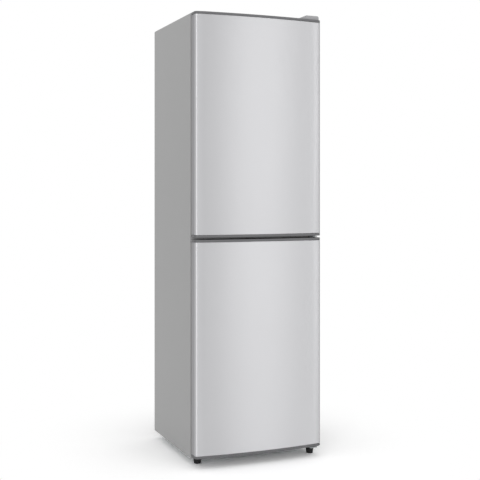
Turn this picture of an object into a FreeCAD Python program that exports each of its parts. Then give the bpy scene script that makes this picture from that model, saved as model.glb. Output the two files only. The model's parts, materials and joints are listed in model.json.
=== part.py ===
import FreeCAD, Part
import math
import os
from types import SimpleNamespace

import Sketcher

# Two-door refrigerator. Millimetres, +Z up, doors towards -Y, hinges on +X.
# The origin is on the floor, under the middle of the whole object.

doc = FreeCAD.newDocument("refrigerator")
sheet = doc.addObject("Spreadsheet::Sheet", "dims")

# Driving dimensions, one group for each piece or family of pieces
dimensions = {
    "case": {
        "width": 550, "height": 1769, "depth": 479, "lift": 31, "sheet": 0.8, "wall": 45, "roof": 50,
        "rear_wall": 50, "floor": 60, "flange": 35,
    },
    "mullion": {"height": 74, "edge": 10, "web": 15, "deep": 18},
    "liner": {
        "wall": 2, "round": 18, "lip": 20, "ledge_out": 9, "ledge_high": 8, "spout_half": 12, "spout_high": 14,
        "spout_rise": 6,
    },
    "bay": {"height": 200, "depth": 205, "slope": 40},
    "panel": {
        "sheet": 0.8, "swage_high": 1.6, "swage_wide": 26, "swage_pitch": 92, "swage_low": 60, "swage_top": 180,
    },
    "base": {"plate": 1.5, "rail": 48, "side": 20, "sleeve_radius": 9, "sleeve_high": 28, "cheek": 2},
    "door": {
        "cap": 9.4, "gap": 8.5, "rise": 9, "top_gap": 2.4, "thick": 52, "seal_gap": 13, "bow": 11,
        "bevel_wide": 37, "bevel_fall": 6.5, "round": 14, "proud": 0.8, "sheet": 0.8, "foam": 30, "hem": 14,
    },
    "cap": {"wall": 2.5, "floor": 2.5, "boss_radius": 10, "boss_long": 18, "rib": 2, "rib_pitch": 60},
    "plug": {"gap": 8, "deep": 30, "rim": 22, "round": 16, "edge": 3, "lug_out": 6, "lug_high": 10, "lug_deep": 40},
    "seal": {"side_inset": 21, "end_inset": 12, "wide": 10, "foot": 8, "foot_thick": 3, "round": 9},
    "hinge": {
        "inset": 17, "back": 32, "plate": 3, "half_wide": 12, "nose": 11, "nose_round": 9, "pin_radius": 4,
        "pin_deep": 14, "bore_radius": 4.08, "bore_deep": 16, "tail": 46, "flange_half": 15,
        "boss_radius": 8, "boss_high": 3, "foot_wing": 24,
    },
    "screw": {
        "radius": 2.6, "head_radius": 5, "head_high": 2.2, "long": 9, "first": 14, "pitch": 20, "flange_pitch": 17,
    },
    "cover": {
        "high": 22, "wide": 80, "tail": 60, "nose": 14, "wall": 2.2, "edge": 2, "round": 9, "ramp": 22, "soften": 3,
    },
    "foot": {
        "pad": 22, "neck": 5, "neck_radius": 8, "top_radius": 16.5, "base_radius": 14, "stud_radius": 4,
        "stud_bore": 4.1, "stud_sink": 14, "left_inset": 39.7, "left_back": 91.7, "right_inset": 25,
        "right_back": 59, "stud_left": 22, "stud_right": 8,
    },
    "roller": {
        "radius": 15, "wide": 20, "inset": 75, "back": 40, "axle_radius": 3, "bore_radius": 3.08, "gap": 1,
        "cheek_half": 10, "cheek_low": 6, "crown": 2,
    },
    "compressor": {
        "long": 170, "wide": 130, "high": 150, "round": 60, "dome": 34, "seam_rise": 62, "seam_thick": 3,
        "seam_out": 4, "left": 40, "foot_thick": 2.5, "foot_long": 214, "foot_wide": 96, "foot_round": 12,
    },
    "grommet": {"radius": 9, "high": 14, "inset": 14, "over": 4},
    "relay": {"out": 34, "long": 62, "high": 58, "round": 6, "rise": 24, "gland_radius": 6, "gland_bore": 4,
              "gland_long": 9},
    "tray": {"long": 230, "wide": 135, "high": 20, "wall": 2, "round": 16, "back": 24},
    "hose": {"radius": 7, "wall": 1.4, "back": 36, "reach": 18},
    "coil": {
        "tube": 2.4, "aside": 9.6, "low": 300, "top_gap": 400, "wire": 0.8, "wire_gap": 0.05, "post_inset": 5,
        "margin": 30, "stand_off": 20, "stand_radius": 4,
    },
    "pipe": {"radius": 3, "bend": 18, "drier_radius": 9, "drier_long": 80, "side_inset": 50, "out": 40},
    "spacer": {"deep": 38, "wide": 46, "high": 70, "inset": 26, "drop": 60, "taper": 12},
    "plate": {"thick": 1.5, "half_wide": 180, "channel": 12, "channel_high": 1.5},
    "control": {"long": 210, "high": 46, "wide": 120, "front": 96, "wall": 2.2, "round": 12},
    "knob": {"radius": 20, "high": 14, "stem": 4, "stem_bore": 4.08, "stem_long": 8, "grip": 6, "aside": 62,
             "gap": 0.5, "taper": 3},
    "lamp": {"long": 90, "wide": 60, "aside": 40, "thick": 4, "round": 8},
    "switch": {"radius": 5, "bore": 5.08, "long": 30, "tip_gap": 0.3, "inset": 40, "drop": 22, "boss": 9,
               "boss_long": 26, "boss_back": 8},
    "shelf": {
        "glass": 4, "front": 82, "rear_gap": 14, "side_gap": 3, "trim_wall": 2, "trim_deep": 16, "trim_drop": 10,
        "lid_gap": 5,
    },
    "crisper": {"high": 188, "front": 110, "wall": 2.4, "rear_gap": 22, "round": 14, "grip_high": 20,
                "grip_out": 12},
    "drawer": {"front": 46, "wall": 2.4, "side_gap": 3, "rear_gap": 16, "round": 12, "panel": 8,
               "grip_high": 26, "grip_out": 10, "top_gap": 8, "lift": 0.3, "step_gap": 14, "tray_drop": 26},
    "bin": {"high": 90, "deep": 100, "wall": 2.4, "gap": 1.5, "rise": 6, "round": 14, "hook": 6},
}

lower_skin_share = 841 / 1769    # height of the lower door's sheet, as a share of the case's
lower_shelf_share = 0.31         # places of the freezer's two shelves, as shares of its inner height
upper_shelf_share = 0.655
shelf_pitch_share = 0.2435       # steps from shelf to shelf, as a share of the height over the crisper's lid
bin_pitch_share = 0.3405         # steps from bin to bin, as a share of the height inside the door's lining
plate_rise_share = 0.148         # place and height of the cold plate, as shares of the fridge space's height
plate_high_share = 0.643
coil_runs = 11                   # straight runs of the condenser tube, an odd number
coil_wires = 21
cap_ribs = 6
plate_rows = 5
fridge_shelves = ("lower", "middle", "upper")
half_bend = math.tan(math.pi / 8)    # how far a fold of 45 degrees shifts the corner of a wall's other face
half_arc = math.sin(math.pi / 4)     # how far the middle of a quarter round lies from its centre, on each axis


class Size:
    """A length, with the formula over the sheet's cells that it follows."""

    def __init__(self, formula, value):
        self.formula = formula
        self.value = float(value)

    def __add__(self, other):
        return combined(self, "+", other, self.value + plain(other))

    def __radd__(self, other):
        return combined(other, "+", self, plain(other) + self.value)

    def __sub__(self, other):
        return combined(self, "-", other, self.value - plain(other))

    def __rsub__(self, other):
        return combined(other, "-", self, plain(other) - self.value)

    def __mul__(self, other):
        return combined(self, "*", other, self.value * plain(other))

    def __rmul__(self, other):
        return combined(other, "*", self, plain(other) * self.value)

    def __truediv__(self, other):
        return combined(self, "/", other, self.value / plain(other))

    def __neg__(self):
        return Size("(-%s)" % self.formula, -self.value)


def plain(size):
    return size.value if isinstance(size, Size) else float(size)


def combined(first, sign, second, value):
    texts = [side.formula if isinstance(side, Size) else repr(side) for side in (first, second)]
    return Size("(%s %s %s)" % (texts[0], sign, texts[1]), value)


def bind(thing, prop, size):
    """Ties a property to the sheet."""
    if isinstance(size, Size):
        thing.setExpression(prop, size.formula)


def fill_sheet():
    """Writes each dimension to its own named cell, and gives the groups of sizes back."""
    groups = {}
    row = 0
    for group, sizes in dimensions.items():
        groups[group] = SimpleNamespace()
        for name, value in sizes.items():
            row += 1
            alias = "%s_%s" % (group, name)
            sheet.set("A%d" % row, alias)
            sheet.set("B%d" % row, str(value))
            sheet.setAlias("B%d" % row, alias)
            setattr(groups[group], name, Size("dims." + alias, value))
    doc.recompute()
    return SimpleNamespace(**groups)


s = fill_sheet()

# Places that several pieces share
half_width = s.case.width / 2
overall_depth = s.door.proud + s.door.bow + s.door.thick + s.door.seal_gap + s.case.depth + s.spacer.deep
crease_y = s.door.proud + s.door.bow - overall_depth / 2
door_back_y = crease_y + s.door.thick
case_front_y = door_back_y + s.door.seal_gap
case_back_y = case_front_y + s.case.depth
rear_y = case_back_y + s.spacer.deep
case_top_z = s.case.lift + s.case.height
lower_door_z = s.case.lift + s.door.rise
lower_door_top_z = lower_door_z + s.door.cap * 2 + s.case.height * lower_skin_share
upper_door_z = lower_door_top_z + s.door.gap
upper_door_top_z = case_top_z - s.door.top_gap
split_z = lower_door_top_z + s.door.gap / 2
opening_half = half_width - s.case.wall
freezer_z = (s.case.lift + s.case.floor, split_z - s.mullion.height / 2)
fridge_z = (split_z + s.mullion.height / 2, case_top_z - s.case.roof)
liner_front_y = case_front_y + s.case.sheet
liner_back_y = case_back_y - s.case.rear_wall
hinge_x = half_width - s.hinge.inset
hinge_y = crease_y + s.hinge.back
bay_front_y = case_back_y - s.bay.depth
bay_top_z = s.case.lift + s.bay.height
pan_y = crease_y + s.door.foam
plug_back_y = door_back_y + s.plug.deep


def both(half):
    """A range that reaches as far to each side of the middle plane."""
    return (-half, half)


def grown(span, by):
    return (span[0] - by, span[1] + by)


def about(middle, half):
    return (middle - half, middle + half)


def move(thing, x, y, z):
    """Ties a piece's place to the sheet."""
    for axis, place in zip("xyz", (x, y, z)):
        bind(thing, "Placement.Base." + axis, place)


def block(name, x, y, z):
    """A box between two places on each axis."""
    box = doc.addObject("Part::Box", name)
    for prop, span in zip(("Length", "Width", "Height"), (x, y, z)):
        bind(box, prop, span[1] - span[0])
    move(box, x[0], y[0], z[0])
    return box


axis_turns = {
    "X": FreeCAD.Rotation(FreeCAD.Vector(0, 1, 0), 90),
    "Y": FreeCAD.Rotation(FreeCAD.Vector(1, 0, 0), -90),
    "Z": FreeCAD.Rotation(),
}


def rod(name, axis, radius, x, y, z):
    """A round bar along one axis, whose place there is a range."""
    bar = doc.addObject("Part::Cylinder", name)
    bar.Placement.Rotation = axis_turns[axis]
    span = {"X": x, "Y": y, "Z": z}[axis]
    bind(bar, "Radius", radius)
    bind(bar, "Height", span[1] - span[0])
    starts = [place[0] if isinstance(place, tuple) else place for place in (x, y, z)]
    move(bar, *starts)
    return bar


def joined(name, *pieces):
    whole = doc.addObject("Part::MultiFuse", name)
    whole.Shapes = list(pieces)
    return whole


def cut(name, base, *tools):
    """The base without the tools, one cut after another."""
    for count, tool in enumerate(tools, 1):
        last = count == len(tools)
        result = doc.addObject("Part::Cut", name if last else "%s_step_%d" % (name, count))
        result.Base = base
        result.Tool = tool
        base = result
    return base


def group(name, *pieces):
    """Separate solids that are one kind of piece."""
    whole = doc.addObject("Part::Compound", name)
    whole.Links = list(pieces)
    return whole


def corner(x, y, rounded=None):
    """A corner of an outline, with the radius of its rounding."""
    return SimpleNamespace(x=x, y=y, rounded=rounded, rise=None)


def bulging(x, y, rise):
    """A sharp corner whose edge to the next corner is an arc that rises this far to the right of the way."""
    return SimpleNamespace(x=x, y=y, rounded=None, rise=rise)


def rectangle(x, y, rounded=None):
    return [
        corner(x[0], y[0], rounded), corner(x[1], y[0], rounded),
        corner(x[1], y[1], rounded), corner(x[0], y[1], rounded),
    ]


def ring(x, y, radius):
    return SimpleNamespace(x=x, y=y, radius=radius)


def polygon(*points):
    return [corner(x, y) for x, y in points]


def pin(sketch, geometry, position, x, y):
    """Fixes a point of a sketch at its distances from the sketch's origin."""
    for kind, place in (("DistanceX", x), ("DistanceY", y)):
        number = sketch.addConstraint(Sketcher.Constraint(kind, -1, 1, geometry, position, plain(place)))
        bind(sketch, "Constraints[%d]" % number, place)


def draw_circle(sketch, loop):
    centre = FreeCAD.Vector(plain(loop.x), plain(loop.y), 0)
    circle = sketch.addGeometry(Part.Circle(centre, FreeCAD.Vector(0, 0, 1), plain(loop.radius)))
    pin(sketch, circle, 3, loop.x, loop.y)
    number = sketch.addConstraint(Sketcher.Constraint("Radius", circle, plain(loop.radius)))
    bind(sketch, "Constraints[%d]" % number, loop.radius)


def draw_arc(sketch, start, middle, end, radius):
    """An arc through three points, and the numbers of its own ends that lie at start and end."""
    arc = sketch.addGeometry(Part.Arc(start, middle, end))
    forward = sketch.Geometry[arc].StartPoint.distanceToPoint(start) < start.distanceToPoint(end) / 2
    number = sketch.addConstraint(Sketcher.Constraint("Radius", arc, plain(radius)))
    bind(sketch, "Constraints[%d]" % number, radius)
    return (arc, 1, 2) if forward else (arc, 2, 1)


def draw_loop(sketch, loop):
    """A closed outline through its corners, fully constrained."""
    count = len(loop)
    points = [FreeCAD.Vector(plain(c.x), plain(c.y), 0) for c in loop]
    arrive, leave, rounds = [], [], []
    for index, here in enumerate(loop):
        arrive.append(points[index])
        leave.append(points[index])
        rounds.append(None)
        if here.rounded is None:
            continue
        back = (points[index - 1] - points[index]).normalize()
        on = (points[(index + 1) % count] - points[index]).normalize()
        half_turn = back.getAngle(on) / 2
        radius = plain(here.rounded)
        inward = (back + on).normalize()
        arrive[index] = points[index] + back * (radius / math.tan(half_turn))
        leave[index] = points[index] + on * (radius / math.tan(half_turn))
        nearest = points[index] + inward * (radius / math.sin(half_turn) - radius)
        rounds[index] = draw_arc(sketch, arrive[index], nearest, leave[index], here.rounded)
    edges = []
    for index, here in enumerate(loop):
        start, end = leave[index], arrive[(index + 1) % count]
        if here.rise is None:
            edges.append((sketch.addGeometry(Part.LineSegment(start, end)), 1, 2))
            continue
        following = loop[(index + 1) % count]
        chord = following.x - here.x
        radius = chord * chord / (here.rise * 8) + here.rise / 2
        way = (end - start).normalize()
        aside = FreeCAD.Vector(way.y, -way.x, 0) * plain(here.rise)
        edges.append(draw_arc(sketch, start, (start + end) / 2 + aside, end, radius))
    for index, here in enumerate(loop):
        before, after = edges[index - 1], edges[index]
        if rounds[index] is None:
            sketch.addConstraint(Sketcher.Constraint("Coincident", before[0], before[2], after[0], after[1]))
            pin(sketch, after[0], after[1], here.x, here.y)
            continue
        arc, first, second = rounds[index]
        sketch.addConstraint(Sketcher.Constraint("Tangent", before[0], before[2], arc, first))
        sketch.addConstraint(Sketcher.Constraint("Tangent", after[0], after[1], arc, second))
        tip = sketch.addGeometry(Part.Point(points[index]), True)
        pin(sketch, tip, 1, here.x, here.y)
        sketch.addConstraint(Sketcher.Constraint("PointOnObject", tip, 1, before[0]))
        sketch.addConstraint(Sketcher.Constraint("PointOnObject", tip, 1, after[0]))


def draw(sketch, loops):
    for loop in loops:
        if isinstance(loop, list):
            draw_loop(sketch, loop)
        else:
            draw_circle(sketch, loop)


sketch_turns = {
    "XY": FreeCAD.Rotation(),
    "XZ": FreeCAD.Rotation(FreeCAD.Vector(1, 0, 0), 90),
    "YZ": FreeCAD.Rotation(FreeCAD.Vector(1, 1, 1), 120),
}


def outline(name, plane, level, *loops):
    """A sketch by itself, square to one axis, at its place on that axis."""
    sketch = doc.addObject("Sketcher::SketchObject", name)
    sketch.Placement.Rotation = sketch_turns[plane]
    bind(sketch, "Placement.Base." + {"XY": "z", "XZ": "y", "YZ": "x"}[plane], level)
    draw(sketch, loops)
    return sketch


def raised(name, profile, high):
    """An outline pulled along its own normal."""
    solid = doc.addObject("Part::Extrusion", name)
    solid.Base = profile
    solid.DirMode = "Normal"
    solid.Solid = True
    bind(solid, "LengthFwd", high)
    return solid


def slab(name, plane, span, *loops):
    """An outline pulled through a range of the axis square to it."""
    level = span[1] if plane == "XZ" else span[0]
    return raised(name, outline(name + "_outline", plane, level, *loops), span[1] - span[0])


def offset(name, profile, by):
    moved = doc.addObject("Part::Offset2D", name)
    moved.Source = profile
    moved.Join = 2
    bind(moved, "Value", by)
    return moved


class Moulding:
    """A piece built up feature by feature from outlines on its own planes."""

    def __init__(self, label, x=0, y=0, z=0):
        self.body = doc.addObject("PartDesign::Body", label)
        self.label = label
        move(self.body, x, y, z)

    def sketch(self, plane, level, loops):
        drawn = self.body.newObject("Sketcher::SketchObject", self.label + "_outline")
        planes = {feature.Role: feature for feature in self.body.Origin.OriginFeatures}
        drawn.AttachmentSupport = [(planes[plane + "_Plane"], "")]
        drawn.MapMode = "FlatFace"
        bind(drawn, "AttachmentOffset.Base.z", level)
        draw(drawn, loops)
        return drawn

    def feature(self, kind, plane, level, length, loops):
        drawn = self.sketch(plane, level, loops)
        made = self.body.newObject("PartDesign::" + kind, "%s_%s" % (self.label, kind.lower()))
        made.Profile = drawn
        bind(made, "Length", length)
        return made

    def pad(self, plane, span, *loops):
        """Adds the outlines' area over a range; the XZ plane looks towards -Y."""
        level = -span[1] if plane == "XZ" else span[0]
        return self.feature("Pad", plane, level, span[1] - span[0], loops)

    def pocket(self, plane, span, *loops):
        """Takes the outlines' area away over a range."""
        level = -span[0] if plane == "XZ" else span[1]
        return self.feature("Pocket", plane, level, span[1] - span[0], loops)

    def revolve(self, *loops):
        """Turns an outline of radius and height once round the piece's own Z axis."""
        drawn = self.sketch("XZ", 0, loops)
        made = self.body.newObject("PartDesign::Revolution", self.label + "_revolution")
        made.Profile = drawn
        made.ReferenceAxis = (drawn, ["V_Axis"])
        made.Angle = 360
        return made

    def fillet(self, radius, chosen):
        """Rounds the edges of the last feature that the test picks."""
        doc.recompute()
        last = self.body.Tip
        edges = last.Shape.Edges
        names = ["Edge%d" % number for number, edge in enumerate(edges, 1) if chosen(edge)]
        made = self.body.newObject("PartDesign::Fillet", self.label + "_fillet")
        made.Base = (last, names)
        bind(made, "Radius", radius)
        return made


# Screws of the three hinges: two in a row on each plate
screw_y = (case_front_y + s.screw.first, case_front_y + s.screw.first + s.screw.pitch)
flange_screw_z = (split_z - s.screw.flange_pitch / 2, split_z + s.screw.flange_pitch / 2)
top_plate_z = (case_top_z, case_top_z + s.hinge.plate)
bottom_plate_z = (s.case.lift - s.hinge.plate, s.case.lift)
flange_y = (case_front_y - s.hinge.plate, case_front_y)


def screw(name, axis, head_out, x, y, z, seat):
    """A pan-head screw whose head sits on its plate at seat and points to head_out."""
    head_span = (seat, seat + s.screw.head_high) if head_out > 0 else (seat - s.screw.head_high, seat)
    shank_span = (seat - s.screw.long, seat) if head_out > 0 else (seat, seat + s.screw.long)
    where = {"X": x, "Y": y, "Z": z}
    head = rod(name + "_head", axis, s.screw.head_radius, **places(where, axis, head_span))
    shank = rod(name + "_shank", axis, s.screw.radius, **places(where, axis, shank_span))
    return joined(name, head, shank), shank


def places(where, axis, span):
    return {key.lower(): span if key == axis else place for key, place in where.items()}


def make_screws():
    """Six equal screws, and the shanks that their plates make room for."""
    made = []
    for count, y in enumerate(screw_y):
        made.append(screw("top_screw_%d" % count, "Z", 1, hinge_x, y, 0, top_plate_z[1]))
        made.append(screw("bottom_screw_%d" % count, "Z", -1, hinge_x, y, 0, bottom_plate_z[0]))
    for count, z in enumerate(flange_screw_z):
        made.append(screw("middle_screw_%d" % count, "Y", -1, hinge_x, 0, z, flange_y[0]))
    return group("hinge_screws", *[pair[0] for pair in made]), [pair[1] for pair in made]


hinge_screws, screw_shanks = make_screws()


def bay_tool(name, by):
    """The compressor bay's space with its sloped corner, grown by this much, as a tool."""
    lean = by * half_bend
    front, roof = bay_front_y - by, bay_top_z + by
    return slab(name, "YZ", both(half_width), polygon(
        (front, 0), (rear_y, 0), (rear_y, roof),
        (bay_front_y + s.bay.slope - lean, roof), (front, bay_top_z - s.bay.slope + lean),
    ))


def make_cabinet_shell():
    """One folded sheet over both sides and the top, with a front edge turned in for the seals."""
    shell = Moulding("cabinet_shell_sheet")
    low, top = s.case.lift, case_top_z
    for wall, span in (
        (s.case.sheet, (case_front_y, case_back_y)),
        (s.case.flange, (case_front_y, liner_front_y)),
    ):
        shell.pad("XZ", span, polygon(
            (-half_width, low), (wall - half_width, low), (wall - half_width, top - wall),
            (half_width - wall, top - wall), (half_width - wall, low), (half_width, low),
            (half_width, top), (-half_width, top),
        ))
    return cut("cabinet_shell", shell.body, *screw_shanks)


def make_back_panel():
    """The rear sheet, folded in at the bottom over and in front of the compressor bay."""
    across = both(half_width - s.case.sheet)
    lean = s.panel.sheet * half_bend
    skin, top = s.panel.sheet, case_top_z - s.case.sheet
    low = s.case.lift + s.base.plate
    panel = Moulding("back_panel_sheet")
    panel.pad("YZ", across, polygon(
        (bay_front_y - skin, low), (bay_front_y, low), (bay_front_y, bay_top_z - s.bay.slope),
        (bay_front_y + s.bay.slope, bay_top_z), (case_back_y, bay_top_z), (case_back_y, top),
        (case_back_y - skin, top), (case_back_y - skin, bay_top_z + skin),
        (bay_front_y + s.bay.slope - lean, bay_top_z + skin),
        (bay_front_y - skin, bay_top_z - s.bay.slope + lean),
    ))
    upright = (bay_top_z + s.panel.swage_low, top - s.panel.swage_top)
    for middle in (-s.panel.swage_pitch, 0, s.panel.swage_pitch):
        panel.pad("XZ", (case_back_y, case_back_y + s.panel.swage_high),
                  rectangle(about(middle, s.panel.swage_wide / 2), upright, s.panel.swage_wide / 4))
    return cut("back_panel", panel.body, hose_rod("back_panel_hole", s.hose.radius))


hose_y = case_back_y - s.hose.back
spout_z = (fridge_z[0] + s.liner.spout_rise, fridge_z[0] + s.liner.spout_rise + s.liner.spout_high)


def hose_rod(name, radius):
    return rod(name, "Z", radius, 0, hose_y, (bay_top_z - s.hose.reach, spout_z[0]))


def make_drain_hose():
    """The tube that takes melt water from the fridge space down to the tray."""
    return cut("drain_hose", hose_rod("hose_outside", s.hose.radius),
               hose_rod("hose_bore", s.hose.radius - s.hose.wall))


shelf_z = {"lid": fridge_z[0] + s.crisper.high + s.shelf.lid_gap}
shelf_pitch = (fridge_z[1] - shelf_z["lid"]) * shelf_pitch_share
for number, name in enumerate(fridge_shelves, 1):
    shelf_z[name] = shelf_z["lid"] + s.shelf.glass + shelf_pitch * number
freezer_high = freezer_z[1] - freezer_z[0]
freezer_shelf_z = {
    "lower": freezer_z[0] + freezer_high * lower_shelf_share,
    "upper": freezer_z[0] + freezer_high * upper_shelf_share,
}
shelf_front_y = case_front_y + s.shelf.front
shelf_back_y = liner_back_y - s.shelf.rear_gap
freezer_front_y = case_front_y + s.drawer.front


def ledges(name, front, top):
    """A rib along each side wall, on which a shelf rests."""
    return [
        block("%s_%s" % (name, side), x, (front, liner_back_y), (top - s.liner.ledge_high, top))
        for side, x in (
            ("left", (-opening_half, s.liner.ledge_out - opening_half)),
            ("right", (opening_half - s.liner.ledge_out, opening_half)),
        )
    ]


def make_liner(name, span, extras, outer_step=(), inner_step=()):
    """A vacuum-formed lining with a front lip, and the solids that the foam leaves room for."""
    wall = s.liner.wall
    outline_out = rectangle(both(opening_half + wall), grown(span, wall), s.liner.round + wall)
    block_out = slab(name + "_outside", "XZ", (liner_front_y, liner_back_y + wall), outline_out)
    block_in = slab(name + "_inside", "XZ", (liner_front_y - wall, liner_back_y),
                    rectangle(both(opening_half), span, s.liner.round))
    lip = slab(name + "_lip", "XZ", (liner_front_y, liner_front_y + wall),
               rectangle(both(opening_half + s.liner.lip), grown(span, s.liner.lip)))
    outside = cut(name + "_outside_stepped", block_out, *outer_step)
    inside = cut(name + "_inside_stepped", block_in, *inner_step)
    tub = cut(name + "_tub", joined(name + "_block", outside, lip), inside)
    return joined(name, tub, *extras), [outside, lip]


switch_x = s.switch.inset - opening_half
switch_z = fridge_z[1] - s.switch.drop
switch_tip_y = plug_back_y + s.switch.tip_gap
switch_boss_y = (switch_tip_y + s.switch.boss_back, switch_tip_y + s.switch.boss_back + s.switch.boss_long)


def make_fridge_liner():
    extras = []
    for name, top in shelf_z.items():
        extras += ledges("ledge_" + name, shelf_front_y + s.shelf.trim_deep + s.shelf.trim_wall, top)
    spout = block("drain_spout", both(s.liner.spout_half), (liner_back_y, hose_y + s.hose.radius), spout_z)
    boss = joined(
        "switch_boss",
        rod("switch_boss_round", "Y", s.switch.boss, switch_x, switch_boss_y, switch_z),
        block("switch_web", about(switch_x, s.switch.boss), switch_boss_y, (switch_z, fridge_z[1])),
    )
    bore = rod("switch_bore", "Y", s.switch.bore, switch_x, switch_boss_y, switch_z)
    liner, solids = make_liner("fridge_liner", fridge_z, extras + [spout, cut("switch_boss_bored", boss, bore)])
    return liner, solids + [spout]


def make_freezer_liner():
    extras = []
    for name, top in freezer_shelf_z.items():
        extras += ledges("freezer_ledge_" + name, freezer_front_y + s.drawer.panel * 3, top)
    outer_step = bay_tool("step_outside", s.case.wall - s.liner.wall)
    return make_liner("freezer_liner", freezer_z, extras, [outer_step], [bay_tool("step_inside", s.case.wall)])


def make_mullion_rail():
    """The steel rail between the two spaces, which both seals close on."""
    rail = Moulding("mullion_rail")
    face = about(split_z, s.mullion.height / 2 - s.mullion.edge)
    rail.pad("XZ", (case_front_y, liner_front_y), rectangle(both(half_width - s.case.flange), face))
    for side in (-1, 1):
        edge = split_z + s.mullion.web * side
        span = (edge - s.case.sheet, edge) if side > 0 else (edge, edge + s.case.sheet)
        rail.pad("XY", span, rectangle(both(opening_half), (case_front_y, case_front_y + s.mullion.deep)))
    return rail.body


left_foot_place = (s.foot.left_inset - half_width, crease_y + s.foot.left_back)
right_foot_place = (half_width - s.foot.right_inset, crease_y + s.foot.right_back)
roller_y = case_back_y - s.roller.back
cheek_reach = s.roller.wide / 2 + s.roller.gap


def make_base_frame():
    """The steel pan under the case: a floor, a front rail, side folds, a nut sleeve and roller cheeks."""
    floor_z = (s.case.lift, s.case.lift + s.base.plate)
    across = both(half_width - s.case.sheet)
    frame = Moulding("base_frame_pan")
    frame.pad("XY", floor_z, rectangle(across, (liner_front_y, case_back_y)))
    rail = (case_front_y, liner_front_y)
    frame.pad("XZ", rail, rectangle(both(half_width - s.case.flange), (s.case.lift, s.case.lift + s.base.rail)))
    for left in (-across[1], across[1] - s.base.plate):
        frame.pad("XZ", (bay_front_y, case_back_y),
                  rectangle((left, left + s.base.plate), (s.case.lift, s.case.lift + s.base.side)))
    frame.pad("XY", (floor_z[0], floor_z[0] + s.base.sleeve_high), ring(*left_foot_place, s.base.sleeve_radius))
    frame.pocket("XY", (s.case.lift - s.base.plate, floor_z[0] + s.base.sleeve_high - s.base.plate),
                 ring(*left_foot_place, s.foot.stud_bore))
    for side in (-1, 1):
        middle = (half_width - s.roller.inset) * side
        for cheek in (-1, 1):
            inner = middle + cheek_reach * cheek
            outer = inner + s.base.cheek * cheek
            span = (inner, outer) if cheek > 0 else (outer, inner)
            frame.pad("YZ", span, rectangle(about(roller_y, s.roller.cheek_half),
                                            (s.roller.radius - s.roller.cheek_low, s.case.lift)))
    holes = [
        rod("axle_hole_%d" % count, "X", s.roller.axle_radius,
            about((half_width - s.roller.inset) * side, cheek_reach + s.base.cheek), roller_y, s.roller.radius)
        for count, side in enumerate((-1, 1))
    ]
    return cut("base_frame", frame.body, *holes, *screw_shanks, *grommet_pins("base_hole"))


def make_roller_axles():
    reach = cheek_reach + s.base.cheek
    return group("roller_axles", *[
        rod("axle_" + name, "X", s.roller.axle_radius, about((half_width - s.roller.inset) * side, reach),
            roller_y, s.roller.radius)
        for name, side in (("left", -1), ("right", 1))
    ])


def make_roller(name, side):
    """A rear wheel with a slightly crowned tread and a bore for its axle."""
    wheel = Moulding(name, (half_width - s.roller.inset) * side, roller_y, s.roller.radius)
    half, radius = s.roller.wide / 2, s.roller.radius
    shoulder = radius - s.roller.crown
    wheel.revolve(polygon(
        (s.roller.bore_radius, -half), (shoulder, -half), (radius, -half / 2), (radius, half / 2),
        (shoulder, half), (s.roller.bore_radius, half),
    ))
    wheel.body.Placement.Rotation = axis_turns["X"]
    return wheel.body


def make_foot(name, place):
    """A tapered levelling foot: a moulded pad that narrows to the floor, with a neck round its stud."""
    foot = Moulding(name, place[0], place[1], 0)
    bore, top = s.foot.stud_radius, s.foot.pad + s.foot.neck
    foot.revolve(polygon(
        (0, 0), (s.foot.base_radius, 0), (s.foot.top_radius, s.foot.pad), (s.foot.neck_radius, s.foot.pad),
        (s.foot.neck_radius, top), (bore, top), (bore, s.foot.stud_sink), (0, s.foot.stud_sink),
    ))
    return foot.body


def make_stud(name, place, above):
    return rod(name, "Z", s.foot.stud_radius, *place, (s.foot.stud_sink, s.case.lift + above))


fridge_high = fridge_z[1] - fridge_z[0]
plate_high = fridge_high * plate_high_share
plate_z = (fridge_z[0] + fridge_high * plate_rise_share, fridge_z[0] + fridge_high * plate_rise_share + plate_high)


def slabs(name, filling, boxes):
    """A filling as slabs that meet face to face, one for each wall that it fills."""
    parts = []
    for count, (x, y, z) in enumerate(boxes):
        part = doc.addObject("Part::Common", "%s_slab_%d" % (name, count))
        part.Base = filling
        part.Tool = block("%s_wall_%d" % (name, count), x, y, z)
        parts.append(part)
    return group(name, *parts)


def foam_walls(across, deep, tall):
    """The walls of the case, with each rounded corner between them in two halves."""
    wall = s.liner.wall
    inner, side = opening_half - s.liner.round, opening_half + wall
    bent = inner + (s.liner.round + wall) * half_arc
    rear = (liner_back_y + wall, deep[1])
    hollow = (deep[0], rear[0])
    step = s.case.wall - wall
    bay_front, bay_roof = bay_front_y - s.panel.sheet, bay_top_z + s.panel.sheet
    slope = bay_top_z - s.bay.slope + s.panel.sheet * half_bend
    slope_end = bay_front_y + s.bay.slope - s.panel.sheet * half_bend
    step_roof = bay_top_z + step
    low = freezer_z[0] - wall
    riser = (bay_front_y - step, bay_front)
    front = (deep[0], bay_front)
    middle = (freezer_z[1] - s.liner.round, fridge_z[0] + s.liner.round)
    roof = (fridge_z[1] - s.liner.round, tall[1])
    walls = [
        (across, front, (tall[0], low)), (both(side), riser, (low, slope)),
        (both(side), (riser[0], slope_end), (slope, step_roof)),
        (both(side), (slope_end, deep[1]), (bay_roof, step_roof)),
        (both(side), rear, (step_roof, tall[1])),
        (both(inner), hollow, middle), (both(inner), hollow, roof),
    ]
    for half in ((-side, -bent), (-bent, -inner), (inner, bent), (bent, side)):
        walls += [
            (half, (deep[0], riser[0]), (low, freezer_z[0] + s.liner.round)),
            (half, hollow, middle), (half, hollow, roof),
        ]
    for end in ((across[0], -side), (side, across[1])):
        walls += [
            (end, front, (low, slope)), (end, (deep[0], slope_end), (slope, bay_roof)),
            (end, deep, (bay_roof, tall[1])),
        ]
    return walls


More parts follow.
